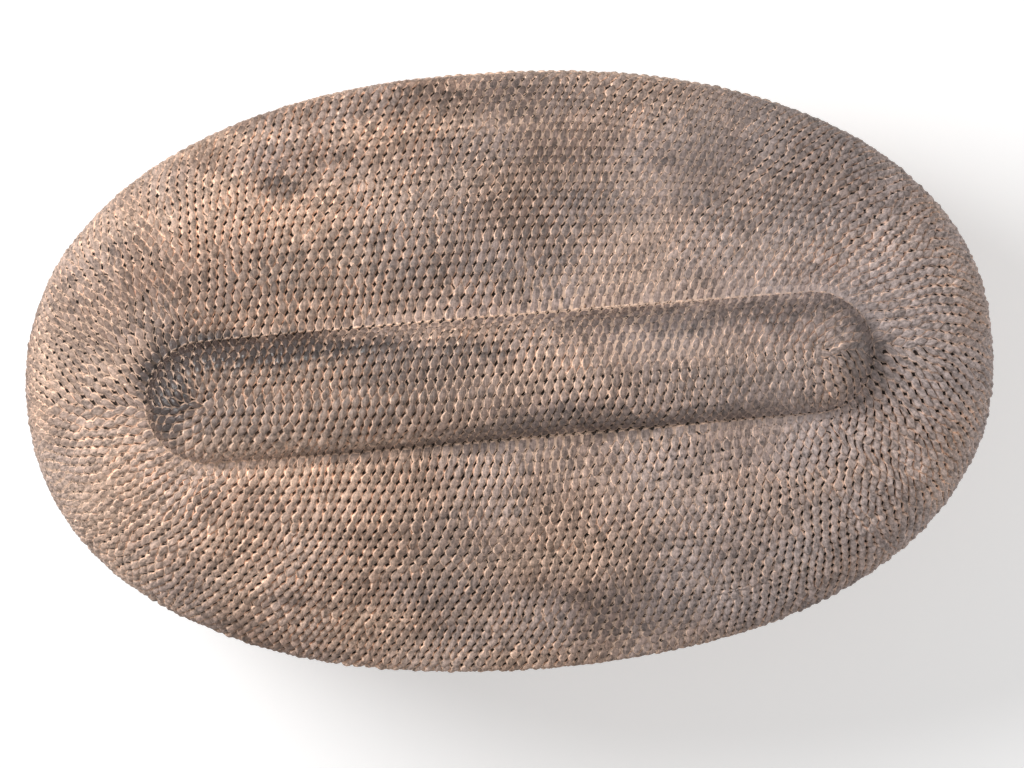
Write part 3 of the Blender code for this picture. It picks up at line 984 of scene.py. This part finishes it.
@dataclass(frozen=True)
class RootFinish:
    """Split root, sewn and aged.

    Attributes:
        name: The material's name.
        root: The root where it is clean.
        faded: The root where it has faded.
        grey: The root where it has greyed.
        dust: The dust in its crevices.
        stain_and_shade: The root where it is stained, and the painted shade in the crease along the ridge's
            lower foot.
        hole: Painted shade in the needle holes between stitches, also the darkest the bed gets where it is
            stained.
        deep: Painted shade on the bed down between open stitches.
        dusting: How much dust lies all over.
        lines: How much dust lies along the stitches' edges.
        stained_and_shaded: Whether the lid's stains and its painted crease shade show on it.
        roughness: How rough it is where it isn't handled.
    """

    name: str
    root: Colour = (76, 58, 52)
    faded: Colour = (156, 127, 113)
    grey: Colour = (170, 157, 155)
    dust: Colour = (242, 207, 182)
    stain_and_shade: Colour = (64, 53, 51)
    hole: Colour = (30, 22, 19)
    deep: Colour = (72, 55, 48)
    dusting: float = 0.16
    lines: float = 1.05
    stained_and_shaded: bool = False
    roughness: float = 0.72

    def bed(self, effects: Effects) -> Material:
        """Make the material of the bed between the stitches, with painted shade in its needle holes and where
        the stitches stand open.
        """
        material, graph, shader = new_material(self.name + "_bed")
        thread = graph.split(graph.add("UVMap", uv_map="thread").outputs[0])
        place = graph.add("TexCoord").outputs["Object"]
        size = graph.mark("hole")
        cloud = graph.step(graph.noise(place, 520.0, 4.0, 0.65), 0.40, 0.66)
        colour = graph.mix(graph.times(cloud, 0.5), self.dust, self.root)
        # Painted shade: the bed darkens where the stitches stand open and the gaps between them are deep
        colour = graph.mix(graph.times(graph.mark("open"), 0.85), colour, self.deep)
        if self.stained_and_shaded:
            stains_and_shade = graph.use(effects.stains_and_shade, Place=place)
            colour = graph.mix(graph.times(stains_and_shade["Right"], 0.85), colour, self.grey)
            # Stains, with the painted crease shade, darken the bed
            colour = graph.mix(graph.times(stains_and_shade["StainAndShade"], 0.9), colour, self.hole)
            size = graph.times(stains_and_shade["StainAndShade"], 0.45, size)
        # Painted shade: a dark spot at each needle hole, larger for bigger holes and where the bed is stained
        beside_hole = graph.times(thread["X"], graph.math("SIGN", thread["Y"]), -HOLE)
        off = graph.combine(beside_hole, graph.math("SUBTRACT", 1.0, graph.math("ABSOLUTE", thread["Y"])))
        wander = graph.times(graph.noise(place, 420.0, 2.0), 0.9, -0.45)
        reach = graph.math("ADD", graph.vector("LENGTH", off), graph.times(size, -0.65, wander))
        graph.feed(shader["Base Color"], graph.mix(graph.step(reach, 0.05, -0.10), colour, self.hole))
        shader["Roughness"].default_value = 0.9
        graph.feed(shader["Normal"], graph.bump(0.5, 0.0003, graph.noise(place, 1500.0, 3.0)))
        return material

    def material(self, effects: Effects) -> Material:
        """Make the material of the stitches."""
        material, graph, shader = new_material(self.name)
        thread = graph.split(graph.add("UVMap", uv_map="thread").outputs[0])
        tone, strand, is_open = (graph.mark(name) for name in ("tone", "strand", "open"))
        place = graph.add("TexCoord").outputs["Object"]
        own = {"Across": thread["X"], "Along": thread["Y"], "Seed": tone}
        fibre = graph.use(effects.fibre, **own)
        line = graph.use(effects.crevice, **own)["Line"]
        weather = graph.use(effects.weather, Place=place, Strand=strand, Tone=tone)
        speck = graph.noise(place, 620.0, 3.0, 0.7)
        colour = graph.mix(weather["Shade"], self.root, self.faded)
        grey = graph.times(weather["Grey"], 0.55)
        lines = graph.times(line, graph.times(is_open, -0.3 * self.lines, self.lines))
        dust = graph.times(is_open, 0.30, self.dusting)
        rough: Value = self.roughness
        if self.stained_and_shaded:
            stains_and_shade = graph.use(effects.stains_and_shade, Place=place)
            grey = graph.times(stains_and_shade["Right"], 0.65, grey)
            dust = graph.times(stains_and_shade["Left"], 0.20, dust)
            clear = graph.times(stains_and_shade["Right"], -0.30, 1.0)
            dust, lines = (graph.times(amount, clear) for amount in (dust, lines))
        colour = graph.mix(graph.math("MINIMUM", grey, 0.9), colour, self.grey)
        dust = graph.times(dust, graph.times(weather["Dust"], 0.9, 0.25))
        lines = graph.times(lines, graph.times(weather["Dust"], 0.5, 0.7))
        colour = graph.mix(graph.math("ADD", dust, lines, clamp=True), colour, self.dust)
        if self.stained_and_shaded:
            # Stains, with the painted shade in the crease at the ridge's lower foot, darken the stitches and
            # make them glossier
            dark = graph.times(stains_and_shade["StainAndShade"], graph.times(line, -0.55, 0.95))
            colour = graph.mix(dark, colour, self.stain_and_shade)
            rough = graph.times(dark, -0.40, self.roughness)
        grain = graph.times(fibre["Streak"], 0.55, graph.times(speck, 2.8))
        grain = graph.math("SUBTRACT", graph.times(tone, 0.30, grain), 0.83)
        graph.feed(shader["Base Color"], graph.vector("SCALE", colour, graph.math("MAXIMUM", grain, 0.30)))
        graph.feed(shader["Roughness"], rough)
        graph.feed(shader["Normal"], graph.bump(0.8, 0.0005, graph.times(speck, 0.5, fibre["Height"])))
        return material


# The finishes of the ridge, crown and skirt, of the lid's inside, and of the basket's wall, inside and foot
HANDLED = RootFinish("handled_root", root=(84, 65, 60), faded=(132, 108, 98), grey=(146, 133, 131),
                     stained_and_shaded=True, roughness=0.62)
WEATHERED = RootFinish("weathered_root", stained_and_shaded=True)
DUSTY = RootFinish("dusty_root", dusting=0.5, stained_and_shaded=True, roughness=0.78)
LID_INSIDE = RootFinish("lid_inside_root", root=(120, 92, 74), faded=(172, 142, 116), grey=(150, 128, 112),
                        dusting=0.15, lines=0.35)
WALL = RootFinish("wall_root", root=(118, 92, 80), faded=(160, 134, 118), dusting=0.25)
INSIDE = RootFinish("inside_root", root=(128, 98, 76), faded=(178, 148, 120), grey=(156, 134, 116),
                    dusting=0.12, lines=0.3)
FOOT_WORN = RootFinish("worn_root", root=(96, 76, 68), faded=(138, 116, 104), dusting=0.2)


@dataclass(frozen=True)
class CoreFinish:
    """The bundle of stems inside the coils, with its dark colour painted shade, so that the gaps between
    stitches read as deep.
    """

    name: str
    dark: Colour = (30, 22, 19)
    light: Colour = (70, 54, 44)

    def material(self) -> Material:
        """Make the material and return it."""
        material, graph, shader = new_material(self.name)
        cloud = graph.noise(graph.add("TexCoord").outputs["Object"], 300.0, 3.0)
        graph.feed(shader["Base Color"], graph.mix(cloud, self.dark, self.light))
        shader["Roughness"].default_value = 0.9
        graph.feed(shader["Normal"], graph.bump(0.5, 0.0004, cloud))
        return material


@dataclass
class Coil:
    """A round coil that is sewn over by itself, such as a rim.

    Attributes:
        outline: The coil's centre line.
        height: The height at which it lies.
        radius: Its radius.
        hidden: The side where its stitches start and end, in degrees up from outwards.
        spacing: Its stitches' usual distance.
    """

    outline: Array
    height: float
    radius: float
    hidden: float
    spacing: float = 0.0043

    def surface(self) -> Surface:
        """Return the coil's face, sewn from its hidden side out, down and round."""
        rings = []
        for angle in math.radians(self.hidden) - np.linspace(0.0, math.tau, COIL_RINGS):
            ring = self.outline + outwards(self.outline) * self.radius * math.cos(angle)
            rings.append(level(ring, self.height + self.radius * math.sin(angle)))
        return Surface.through(rings, Facing.WITH)

    def build(self, name: str, seed: int, core: Core) -> Piece:
        """Sew over the coil.

        Args:
            name: The piece's name.
            seed: What the unevenness grows from.
            core: Where the coil's dark inside goes.

        Returns:
            The piece.
        """
        surface = self.surface()
        rows = Rows.between(1)
        places = Sewing(spacing=self.spacing).places(surface, rows, seed)
        last = (COIL_CORE_RINGS - 1) / COIL_CORE_RINGS
        core.add(core.rings(surface, COIL_CORE_RINGS, THIN_DEPTH, last), hoop=True)
        return Field(surface, rows, places, WRAP).build(name, range(1), seed)


@dataclass
class Lid:
    """The vaulted lid, sewn from its ridge outwards, over the crown and down the skirt."""

    length: float = 0.399
    width: float = 0.247
    thickness: float = 0.0055
    seat: float = 0.1194
    rim_diameter: float = 0.0065
    skirt_height: float = 0.022
    crown_drop: float = 0.040
    grip_length: float = 0.296
    grip_width: float = 0.050
    grip_height: float = 0.017
    grip_thickness: float = 0.0045
    side_fall_power: float = 1.7
    end_fall_power: float = 2.6
    end_starts_share: float = 0.30
    end_full_share: float = 0.92
    grip_rows: int = 7
    grip_inner_rows: int = 6
    crown_rows: int = 18
    crown_short_rows: tuple[int, ...] = (4, 1, 7, 2, 5, 0, 8, 3, 6)
    short_row_height: float = 0.0038
    row_slimming: float = 0.12
    skirt_rows: int = 6
    inner_crown_rows: int = 14
    inner_spacing: float = 0.0045
    start_half_width: float = 0.0019
    softness: float = 0.0015

    def __post_init__(self) -> None:
        """Work out the lid's levels and the half length of the ridge's straight stretch."""
        self.skirt_foot = self.seat + self.rim_diameter + SEAM
        self.crown_foot = self.skirt_foot + self.skirt_height + SEAM
        self.grip_foot = self.crown_foot + self.crown_drop + SEAM
        self.straight = (self.grip_length - self.grip_width) / 2

    def ridge(self, radius: float) -> Array:
        """Return the outline at a distance from the ridge's centre line."""
        return stadium(self.straight, radius) @ TURNED

    def crown_ring(self, radius: float, inside: float, share: float) -> Array:
        """Lay a ring of the crown between the ridge and the skirt.

        Args:
            radius: The ridge's distance from its centre line.
            inside: How far inside the lid's outer face the ring lies.
            share: How far out it lies.

        Returns:
            The ring.
        """
        foot, rim = self.ridge(radius), oval(self.length, self.width, inside)
        along = np.abs(rim[:, 0]) / (self.length / 2)
        ends = eased((along - self.end_starts_share) / (self.end_full_share - self.end_starts_share))
        side_fall = share ** self.side_fall_power
        end_fall = 1 - math.sqrt(max(1 - share ** self.end_fall_power, 0.0))
        fall = (self.crown_drop - inside) * (side_fall + (end_fall - side_fall) * ends)
        return level(foot + (rim - foot) * share, self.crown_foot + self.crown_drop - inside - fall)

    def face(self, facing: Facing) -> Surface:
        """Return the lid's outer face, or its inner one, from the first coil to the rim coil."""
        shell, ridge_shell, section = 0.0, 0.0, GRIP_SECTION
        if facing is Facing.AGAINST:
            shell, ridge_shell = self.thickness, self.grip_thickness
            section = GRIP_SECTION[:-1] + (GRIP_INNER_FOOT,)
        radius, high = self.grip_width / 2 - ridge_shell, self.grip_height - ridge_shell
        starts = (FIRST_RING, self.start_half_width)
        out = np.sin(np.linspace(0.0, math.pi / 2, CROWN_RINGS))[1:]
        rings = [level(self.ridge(start), self.grip_foot + high) for start in starts]
        rings += [level(self.ridge(radius * wide), self.grip_foot + high * rise) for wide, rise in section]
        grip = len(rings) - 1
        rings += [self.crown_ring(radius, shell, share) for share in out]
        crown = len(rings) - 1
        rings.append(level(oval(self.length, self.width, shell), self.skirt_foot))
        return Surface.through(rings, facing, self.softness, {"start": 1, "grip": grip, "crown": crown})

    def first_coil(self, height: float, facing: Facing, beside_it: Field, name: str,
                   seed: int) -> tuple[Field, Piece]:
        """Sew the straight coil that the lid starts with, each stitch between two of the row beside it.

        Args:
            height: The height of its face.
            facing: Which way that looks.
            beside_it: The rows that are sewn round it.
            name: The piece's name.
            seed: What the unevenness grows from.

        Returns:
            The coil's stitches as a field and as a piece.
        """
        straight = self.straight + self.start_half_width
        line = np.linspace(-straight, straight, AROUND) / FIRST_COIL_SEWN
        rings = []
        for across in np.linspace(-2 * self.start_half_width, 2 * self.start_half_width, 9):
            rings.append(level(np.column_stack([line, np.full(AROUND, across)]) @ TURNED, height))
        turn = beside_it.places[0]
        row = beside_it.surface.at(turn, read_row(beside_it.rows.edges, 0, turn))
        along, across = (row[:, :2] @ TURNED.T).T
        along = np.sort(along[(across > 0) & (np.abs(along) < straight)])
        spots = 0.5 + (along[1:] + along[:-1]) / 4 / straight * FIRST_COIL_SEWN
        surface, rows = Surface.through(rings, facing), Rows.between(1, 0.25, 0.75)
        sewn = Field(surface, rows, [spots], beside_it.stitch, -1.0, beside_it.relief, ())
        return sewn, sewn.build(name, range(1), seed)

    def rows(self, surface: Surface, grip_rows: int) -> Rows:
        """Lay the lid's rows on one of its faces."""
        start, grip, crown = (surface.marks[name] for name in ("start", "grip", "crown"))
        crown_rows = Rows.with_short_rows((crown - grip) * surface.lengths, (grip, crown), self.crown_rows,
                                          self.short_row_height, self.crown_short_rows, self.row_slimming)
        skirt_rows = Rows.between(self.skirt_rows, crown)
        return Rows.between(grip_rows, start, grip).then(crown_rows).then(skirt_rows)

    def relief(self, points: Array) -> Array:
        """Return how high the stitches stand: worn right of the middle and at the ridge's foot."""
        x, y = points[..., 0], points[..., 1]
        along, across = np.moveaxis(points[..., :2] @ TURNED.T, -1, 0)
        from_foot = np.hypot(np.maximum(np.abs(along) - self.straight, 0.0), across) - self.grip_width / 2
        crease = np.exp(-(((from_foot - CREASE[0]) / CREASE[1]) ** 2))
        left = np.exp(-(((x - LEFT_PLUMP[0]) / LEFT_PLUMP[1]) ** 2))
        right = 1 / (1 + np.exp(-(x - RIGHT_PLUMP[0]) / RIGHT_PLUMP[1]))
        waves = 0.07 * np.sin(x * 61 + 2 * np.sin(y * 43)) + 0.07 * np.sin(y * 97 + 3 * np.sin(x * 29))
        plump = WORN + LEFT_PLUMP[2] * left + RIGHT_PLUMP[2] * right + waves
        return np.clip(plump * (1 - CREASE[2] * crease), 0.45, 1.35)

    def build(self, effects: Effects) -> None:
        """Sew the lid."""
        outer, inner = self.face(Facing.WITH), self.face(Facing.AGAINST)
        skirt_look = self.build_outside(outer, effects)
        core = Core()
        core.add(core.rings(outer, LID_CORE, OUTER_DEPTH), core.rings(inner, LID_CORE, INNER_DEPTH)[::-1])
        radius = self.rim_diameter / 2
        rim = Coil(oval(self.length, self.width, self.thickness - radius), self.seat + radius, radius, 80)
        dress(rim.build("lid_rim_stitches", 18, core), "lid", "lid_rim_coil", skirt_look)
        self.build_inside(inner, effects)
        dress(core.build("lid_core"), "lid", "lid_crown", CoreFinish("lid_stems").material())

    def build_outside(self, outer: Surface, effects: Effects) -> Material:
        """Sew the outside, with its bed, and return the skirt's material."""
        rows = self.rows(outer, self.grip_rows)
        count = len(rows.full)
        grip_end, crown_end = self.grip_rows, count - self.skirt_rows
        places = Sewing().places(outer, rows, 11)
        sewn = Field(outer, rows, places, Stitch(), 1.0, self.relief, (grip_end, count))
        finishes = (HANDLED, WEATHERED, DUSTY)
        grip_look, crown_look, skirt_look = (finish.material(effects) for finish in finishes)
        top = self.grip_foot + self.grip_height
        start, piece = self.first_coil(top, Facing.AGAINST, sewn, "lid_first_stitches", 10)
        dress(piece, "lid", "lid_grip", grip_look)
        dress(start.build_bed("lid_first_bed", range(1)), "lid", "lid_grip", HANDLED.bed(effects))
        dress(sewn.build("lid_grip_stitches", range(grip_end), 12), "lid", "lid_grip", grip_look)
        for index, part in enumerate(in_parts(range(grip_end, crown_end), 4)):
            piece = sewn.build(f"lid_crown_stitches_{index + 1}", part, 13 + index)
            dress(piece, "lid", "lid_crown", crown_look)
        dress(sewn.build("lid_skirt_stitches", range(crown_end, count), 17), "lid", "lid_skirt", skirt_look)
        bed = WEATHERED.bed(effects)
        for index, part in enumerate(in_parts(range(count), 2)):
            dress(sewn.build_bed(f"lid_bed_{index + 1}", part), "lid", "lid_crown", bed)
        return skirt_look

    def build_inside(self, inner: Surface, effects: Effects) -> None:
        """Sew the inside."""
        hollow = LID_INSIDE.material(effects)
        rows = self.rows(inner, self.grip_inner_rows)
        count, middle = len(rows.full), self.grip_inner_rows + self.inner_crown_rows
        places = Sewing(self.inner_spacing).places(inner, rows, 21)
        sewn = Field(inner, rows, places, PLAIN_STITCH, creases=(self.grip_inner_rows, count))
        top = self.grip_foot + self.grip_height - self.grip_thickness
        _, piece = self.first_coil(top, Facing.WITH, sewn, "lid_inner_first_stitches", 20)
        dress(piece, "lid", "lid_grip", hollow)
        dress(sewn.build("lid_inner_stitches_1", range(middle), 22), "lid", "lid_crown", hollow)
        dress(sewn.build("lid_inner_stitches_2", range(middle, count), 23), "lid", "lid_skirt", hollow)


@dataclass
class Basket:
    """The basket under the lid: floor, heel, flared wall, rim, and the collar in its mouth."""

    length: float = 0.399
    width: float = 0.247
    base_length: float = 0.316
    base_width: float = 0.184
    floor_thickness: float = 0.007
    heel_diameter: float = 0.008
    wall_height: float = 0.104
    wall_thickness: float = 0.006
    wall_inset: float = 0.0012
    flared_height: float = 0.074
    softness: float = 0.002
    rim_diameter: float = 0.0065
    rim_inset: float = 0.00395
    collar_inset: float = 0.0075
    collar_thickness: float = 0.0045
    collar_foot: float = 0.0883
    collar_top: float = 0.1387
    wall_rows: int = 28
    collar_seen_rows: int = 7
    collar_rows: int = 13
    floor_rows: int = 20
    plain_spacing: float = 0.0045

    def __post_init__(self) -> None:
        """Work out the wall's levels."""
        self.wall_foot = self.heel_diameter + SEAM
        self.wall_top = self.wall_foot + self.wall_height

    def wall(self, inside: float, facing: Facing) -> Surface:
        """Return a face of the wall, so far inside its outer face, from the heel up."""
        inset = self.heel_diameter - self.wall_thickness
        foot = np.array([self.base_length, self.base_width]) - inset
        mouth = np.array([self.length, self.width]) - 2 * self.wall_inset
        rings = []
        for share in np.linspace(0.0, 1.0, WALL_RINGS):
            size = foot + (mouth - foot) * math.sin(share * math.pi / 2)
            rings.append(level(oval(*size, inside), self.wall_foot + self.flared_height * share))
        rings.append(level(oval(*mouth, inside), self.wall_top))
        return Surface.through(rings, facing, self.softness)

    def upright(self, inset: float, foot: float, top: float, facing: Facing) -> Surface:
        """Return an upright face of the collar."""
        outline = oval(self.length, self.width, inset)
        return Surface.through([level(outline, foot), level(outline, top)], facing)

    def flat(self, height: float, facing: Facing) -> Surface:
        """Return a face of the floor, from its centre line outwards."""
        edge = oval(self.base_length, self.base_width, self.wall_foot)
        start = stadium((self.base_length - self.base_width) / 2, FIRST_RING)
        shares = np.linspace(0.0, 1.0, FLOOR_RINGS)
        rings = [level(start + (edge - start) * share, height) for share in shares]
        return Surface.through(rings, facing)

    def sew(self, name: str, node: str, material: Material, surface: Surface, count: int, seed: int,
            climbing: bool = True, stitch: Stitch = PLAIN_STITCH, parts: int = 1,
            made: int | None = None) -> None:
        """Lay even rows on a face and sew them.

        Args:
            name: The pieces' name, which gets a number where there are more parts.
            node: The solid that they stand for.
            material: Their material.
            surface: The face.
            count: Its number of rows.
            seed: What the unevenness grows from.
            climbing: Whether the stitches climb the other way from the lid's.
            stitch: Their shape.
            parts: How many pieces to make.
            made: How many of the rows to make, or None for all.
        """
        rows = Rows.between(count)
        sewing = Sewing(shift=0.45 if climbing else -0.45)
        if stitch is PLAIN_STITCH:
            sewing.spacing = self.plain_spacing
        sewn = Field(surface, rows, sewing.places(surface, rows, seed), stitch, -1.0 if climbing else 1.0)
        for index, part in enumerate(in_parts(range(count if made is None else made), parts)):
            label = name if parts == 1 else f"{name}_{index + 1}"
            dress(sewn.build(label, part, seed + 1 + index), "basket", node, material)

    def build(self, effects: Effects) -> None:
        """Sew the basket."""
        wall, inside, foot = (finish.material(effects) for finish in (WALL, INSIDE, FOOT_WORN))
        core = Core()
        self.build_wall(wall, inside, core)
        self.build_collar(inside, core)
        self.build_floor(inside, foot, core)
        self.build_coils(wall, inside, foot, core)
        dress(core.build("basket_core"), "basket", "basket_wall", CoreFinish("basket_stems").material())

    def build_wall(self, wall: Material, inside: Material, core: Core) -> None:
        """Sew the wall's two faces, the inner one up to the collar, and fill the space between them."""
        outer, inner = self.wall(0.0, Facing.AGAINST), self.wall(self.wall_thickness, Facing.WITH)
        covered = int(self.wall_rows * self.collar_foot / self.wall_top)
        self.sew("wall_stitches", "basket_wall", wall, outer, self.wall_rows, 31, stitch=Stitch(), parts=5)
        self.sew("wall_inner_stitches", "basket_wall", inside, inner, self.wall_rows, 41,
                 parts=2, made=covered)
        within, without = core.rings(inner, WALL_CORE, INNER_DEPTH), core.rings(outer, WALL_CORE, OUTER_DEPTH)
        core.add(within, without[::-1], hoop=True)

    def build_collar(self, inside: Material, core: Core) -> None:
        """Sew the collar's two faces, and let its core reach up into its rim coil."""
        behind = self.collar_inset + self.collar_thickness
        outer = self.upright(self.collar_inset, self.wall_top, self.collar_top, Facing.AGAINST)
        inner = self.upright(behind, self.collar_foot, self.collar_top, Facing.WITH)
        self.sew("collar_outer_stitches", "basket_collar", inside, outer, self.collar_seen_rows, 51)
        self.sew("collar_inner_stitches", "basket_collar", inside, inner, self.collar_rows, 53)
        into_rim = self.collar_top + SEAM + self.collar_thickness / 2
        within, without = (
            core.rings(self.upright(inset, self.collar_foot, into_rim, facing), COLLAR_CORE, THIN_DEPTH)
            for inset, facing in ((behind, Facing.WITH), (self.collar_inset, Facing.AGAINST)))
        core.add(within, without[::-1], hoop=True)

    def build_floor(self, inside: Material, foot: Material, core: Core) -> None:
        """Sew the floor's two faces and fill the space between them."""
        upper, under = self.flat(self.floor_thickness, Facing.WITH), self.flat(0.0, Facing.AGAINST)
        self.sew("floor_stitches", "basket_floor", inside, upper, self.floor_rows, 61, climbing=False)
        self.sew("floor_under_stitches", "basket_floor", foot, under, self.floor_rows, 63)
        above, below = (core.rings(face, FLOOR_CORE, INNER_DEPTH) for face in (upper, under))
        core.add(above, below[::-1])

    def build_coils(self, wall: Material, inside: Material, foot: Material, core: Core) -> None:
        """Sew over the heel coil, the basket's rim and the collar's rim."""
        heel, rim, lip = self.heel_diameter / 2, self.rim_diameter / 2, self.collar_thickness / 2
        base, mouth = (self.base_length, self.base_width), (self.length, self.width)
        for name, node, material, outline, height, radius, hidden, seed in (
            ("heel_stitches", "basket_heel_coil", foot, oval(*base, heel), heel, heel, 150, 71),
            ("rim_stitches", "basket_rim_coil", wall, oval(*mouth, self.rim_inset),
             self.wall_top + SEAM + rim, rim, -100, 72),
            ("collar_rim_stitches", "collar_rim_coil", inside, oval(*mouth, self.collar_inset + lip),
             self.collar_top + SEAM + lip, lip, -90, 73),
        ):
            dress(Coil(outline, height, radius, hidden).build(name, seed, core), "basket", node, material)


@dataclass
class Studio:
    """The pale floor, the soft lamps and the camera, which looks at the lid as the photograph does.

    Attributes:
        aim: The point at the middle of the view.
        distance: The camera's distance from it.
        tilt: How far the camera leans from straight above.
        roll: How far it is rolled.
        field_of_view: How wide it sees.
        key_place: Where the main lamp hangs, up and to the left.
        key_power: Its power.
        fill_place: Where the weaker lamp hangs, low on the right.
        fill_power: Its power.
        lamp_size: How wide both lamps are.
        lamp_aim: The point that they shine at.
        room_light: The strength of the light from all round.
        floor_glow: What the floor shows the camera over its own light.
        floor_reach: How far the floor reaches each way.
    """

    aim: tuple[float, float, float] = (0.0009, -0.0046, 0.15)
    distance: float = 2.2
    tilt: float = math.radians(-2.7)
    roll: float = math.radians(-3.2)
    field_of_view: float = math.radians(10.96)
    key_place: tuple[float, float, float] = (-0.82, 0.5, 1.15)
    key_power: float = 14.6
    fill_place: tuple[float, float, float] = (1.0, 0.0, 0.55)
    fill_power: float = 1.5
    lamp_size: float = 0.6
    lamp_aim: tuple[float, float, float] = (0.0, 0.0, 0.1)
    room_light: float = 0.36
    floor_glow: float = 0.38
    floor_reach: float = 4.0

    def build(self) -> None:
        """Make the camera, the lamps, the room's light and the floor."""
        self.make_camera()
        self.make_lamp("key", self.key_place, self.key_power)
        self.make_lamp("fill", self.fill_place, self.fill_power)
        self.make_room()
        self.make_floor()

    def make_camera(self) -> None:
        """Place the camera over the lid."""
        camera = bpy.data.objects.new("camera", bpy.data.cameras.new("camera"))
        camera.data.angle = self.field_of_view
        turned = Matrix.Rotation(self.tilt, 4, "X") @ Matrix.Rotation(self.roll, 4, "Z")
        place = Vector(self.aim) + turned.to_3x3() @ Vector((0.0, 0.0, self.distance))
        camera.matrix_world = Matrix.Translation(place) @ turned
        bpy.context.scene.collection.objects.link(camera)
        bpy.context.scene.camera = camera

    def make_lamp(self, name: str, place: tuple[float, float, float], power: float) -> None:
        """Hang a large soft lamp that shines at the basket's middle."""
        lamp = bpy.data.lights.new(name, "AREA")
        lamp.shape, lamp.size, lamp.energy = "DISK", self.lamp_size, power
        holder = bpy.data.objects.new(name, lamp)
        holder.location = place
        holder.rotation_euler = (Vector(self.lamp_aim) - Vector(place)).to_track_quat("-Z", "Y").to_euler()
        bpy.context.scene.collection.objects.link(holder)

    def make_room(self) -> None:
        """Light the object from all round, and show the room as white."""
        world = bpy.data.worlds.new("room")
        world.use_nodes = True
        bpy.context.scene.world = world
        graph = Graph(world.node_tree)
        background = graph.tree.nodes["Background"].inputs
        strength = graph.times(self.seen(graph), 1.0 - self.room_light, self.room_light)
        graph.feed(background["Strength"], strength)
        background["Color"].default_value = (1.0, 1.0, 1.0, 1.0)

    @staticmethod
    def seen(graph: Graph) -> Socket:
        """Return 1 for what the camera sees itself, in gloss or through glass, and 0 for other light."""
        rays = graph.add("LightPath").outputs
        share = graph.math("MAXIMUM", rays["Is Camera Ray"], rays["Is Glossy Ray"])
        return graph.math("MAXIMUM", share, rays["Is Transmission Ray"])

    def make_floor(self) -> None:
        """Lay a pale floor that keeps the object's shadow."""
        mesh = bpy.data.meshes.new("floor")
        far = self.floor_reach
        mesh.from_pydata([(-far, -far, 0), (far, -far, 0), (far, far, 0), (-far, far, 0)], [], [(0, 1, 2, 3)])
        floor = bpy.data.objects.new("studio_floor", mesh)
        bpy.context.scene.collection.objects.link(floor)
        material, graph, _ = new_material("pale_floor")
        mesh.materials.append(material)
        graph.tree.nodes.remove(graph.tree.nodes["Principled BSDF"])
        both = graph.add("AddShader")
        strength = graph.times(self.seen(graph), self.floor_glow)
        graph.feed(both.inputs[0], graph.add("BsdfDiffuse", {"Color": (0.8, 0.8, 0.8, 1.0)}).outputs[0])
        graph.feed(both.inputs[1], graph.add("Emission", {"Strength": strength}).outputs[0])
        graph.feed(graph.tree.nodes["Material Output"].inputs["Surface"], both.outputs[0])


def main() -> None:
    """Sew the lid and the basket, and set up the studio."""
    logging.basicConfig(level=logging.INFO, format="%(message)s")
    bpy.context.scene.view_settings.view_transform = "Standard"
    effects = Effects()
    Lid().build(effects)
    Basket().build(effects)
    Studio().build()


if __name__ == "__main__":
    main()
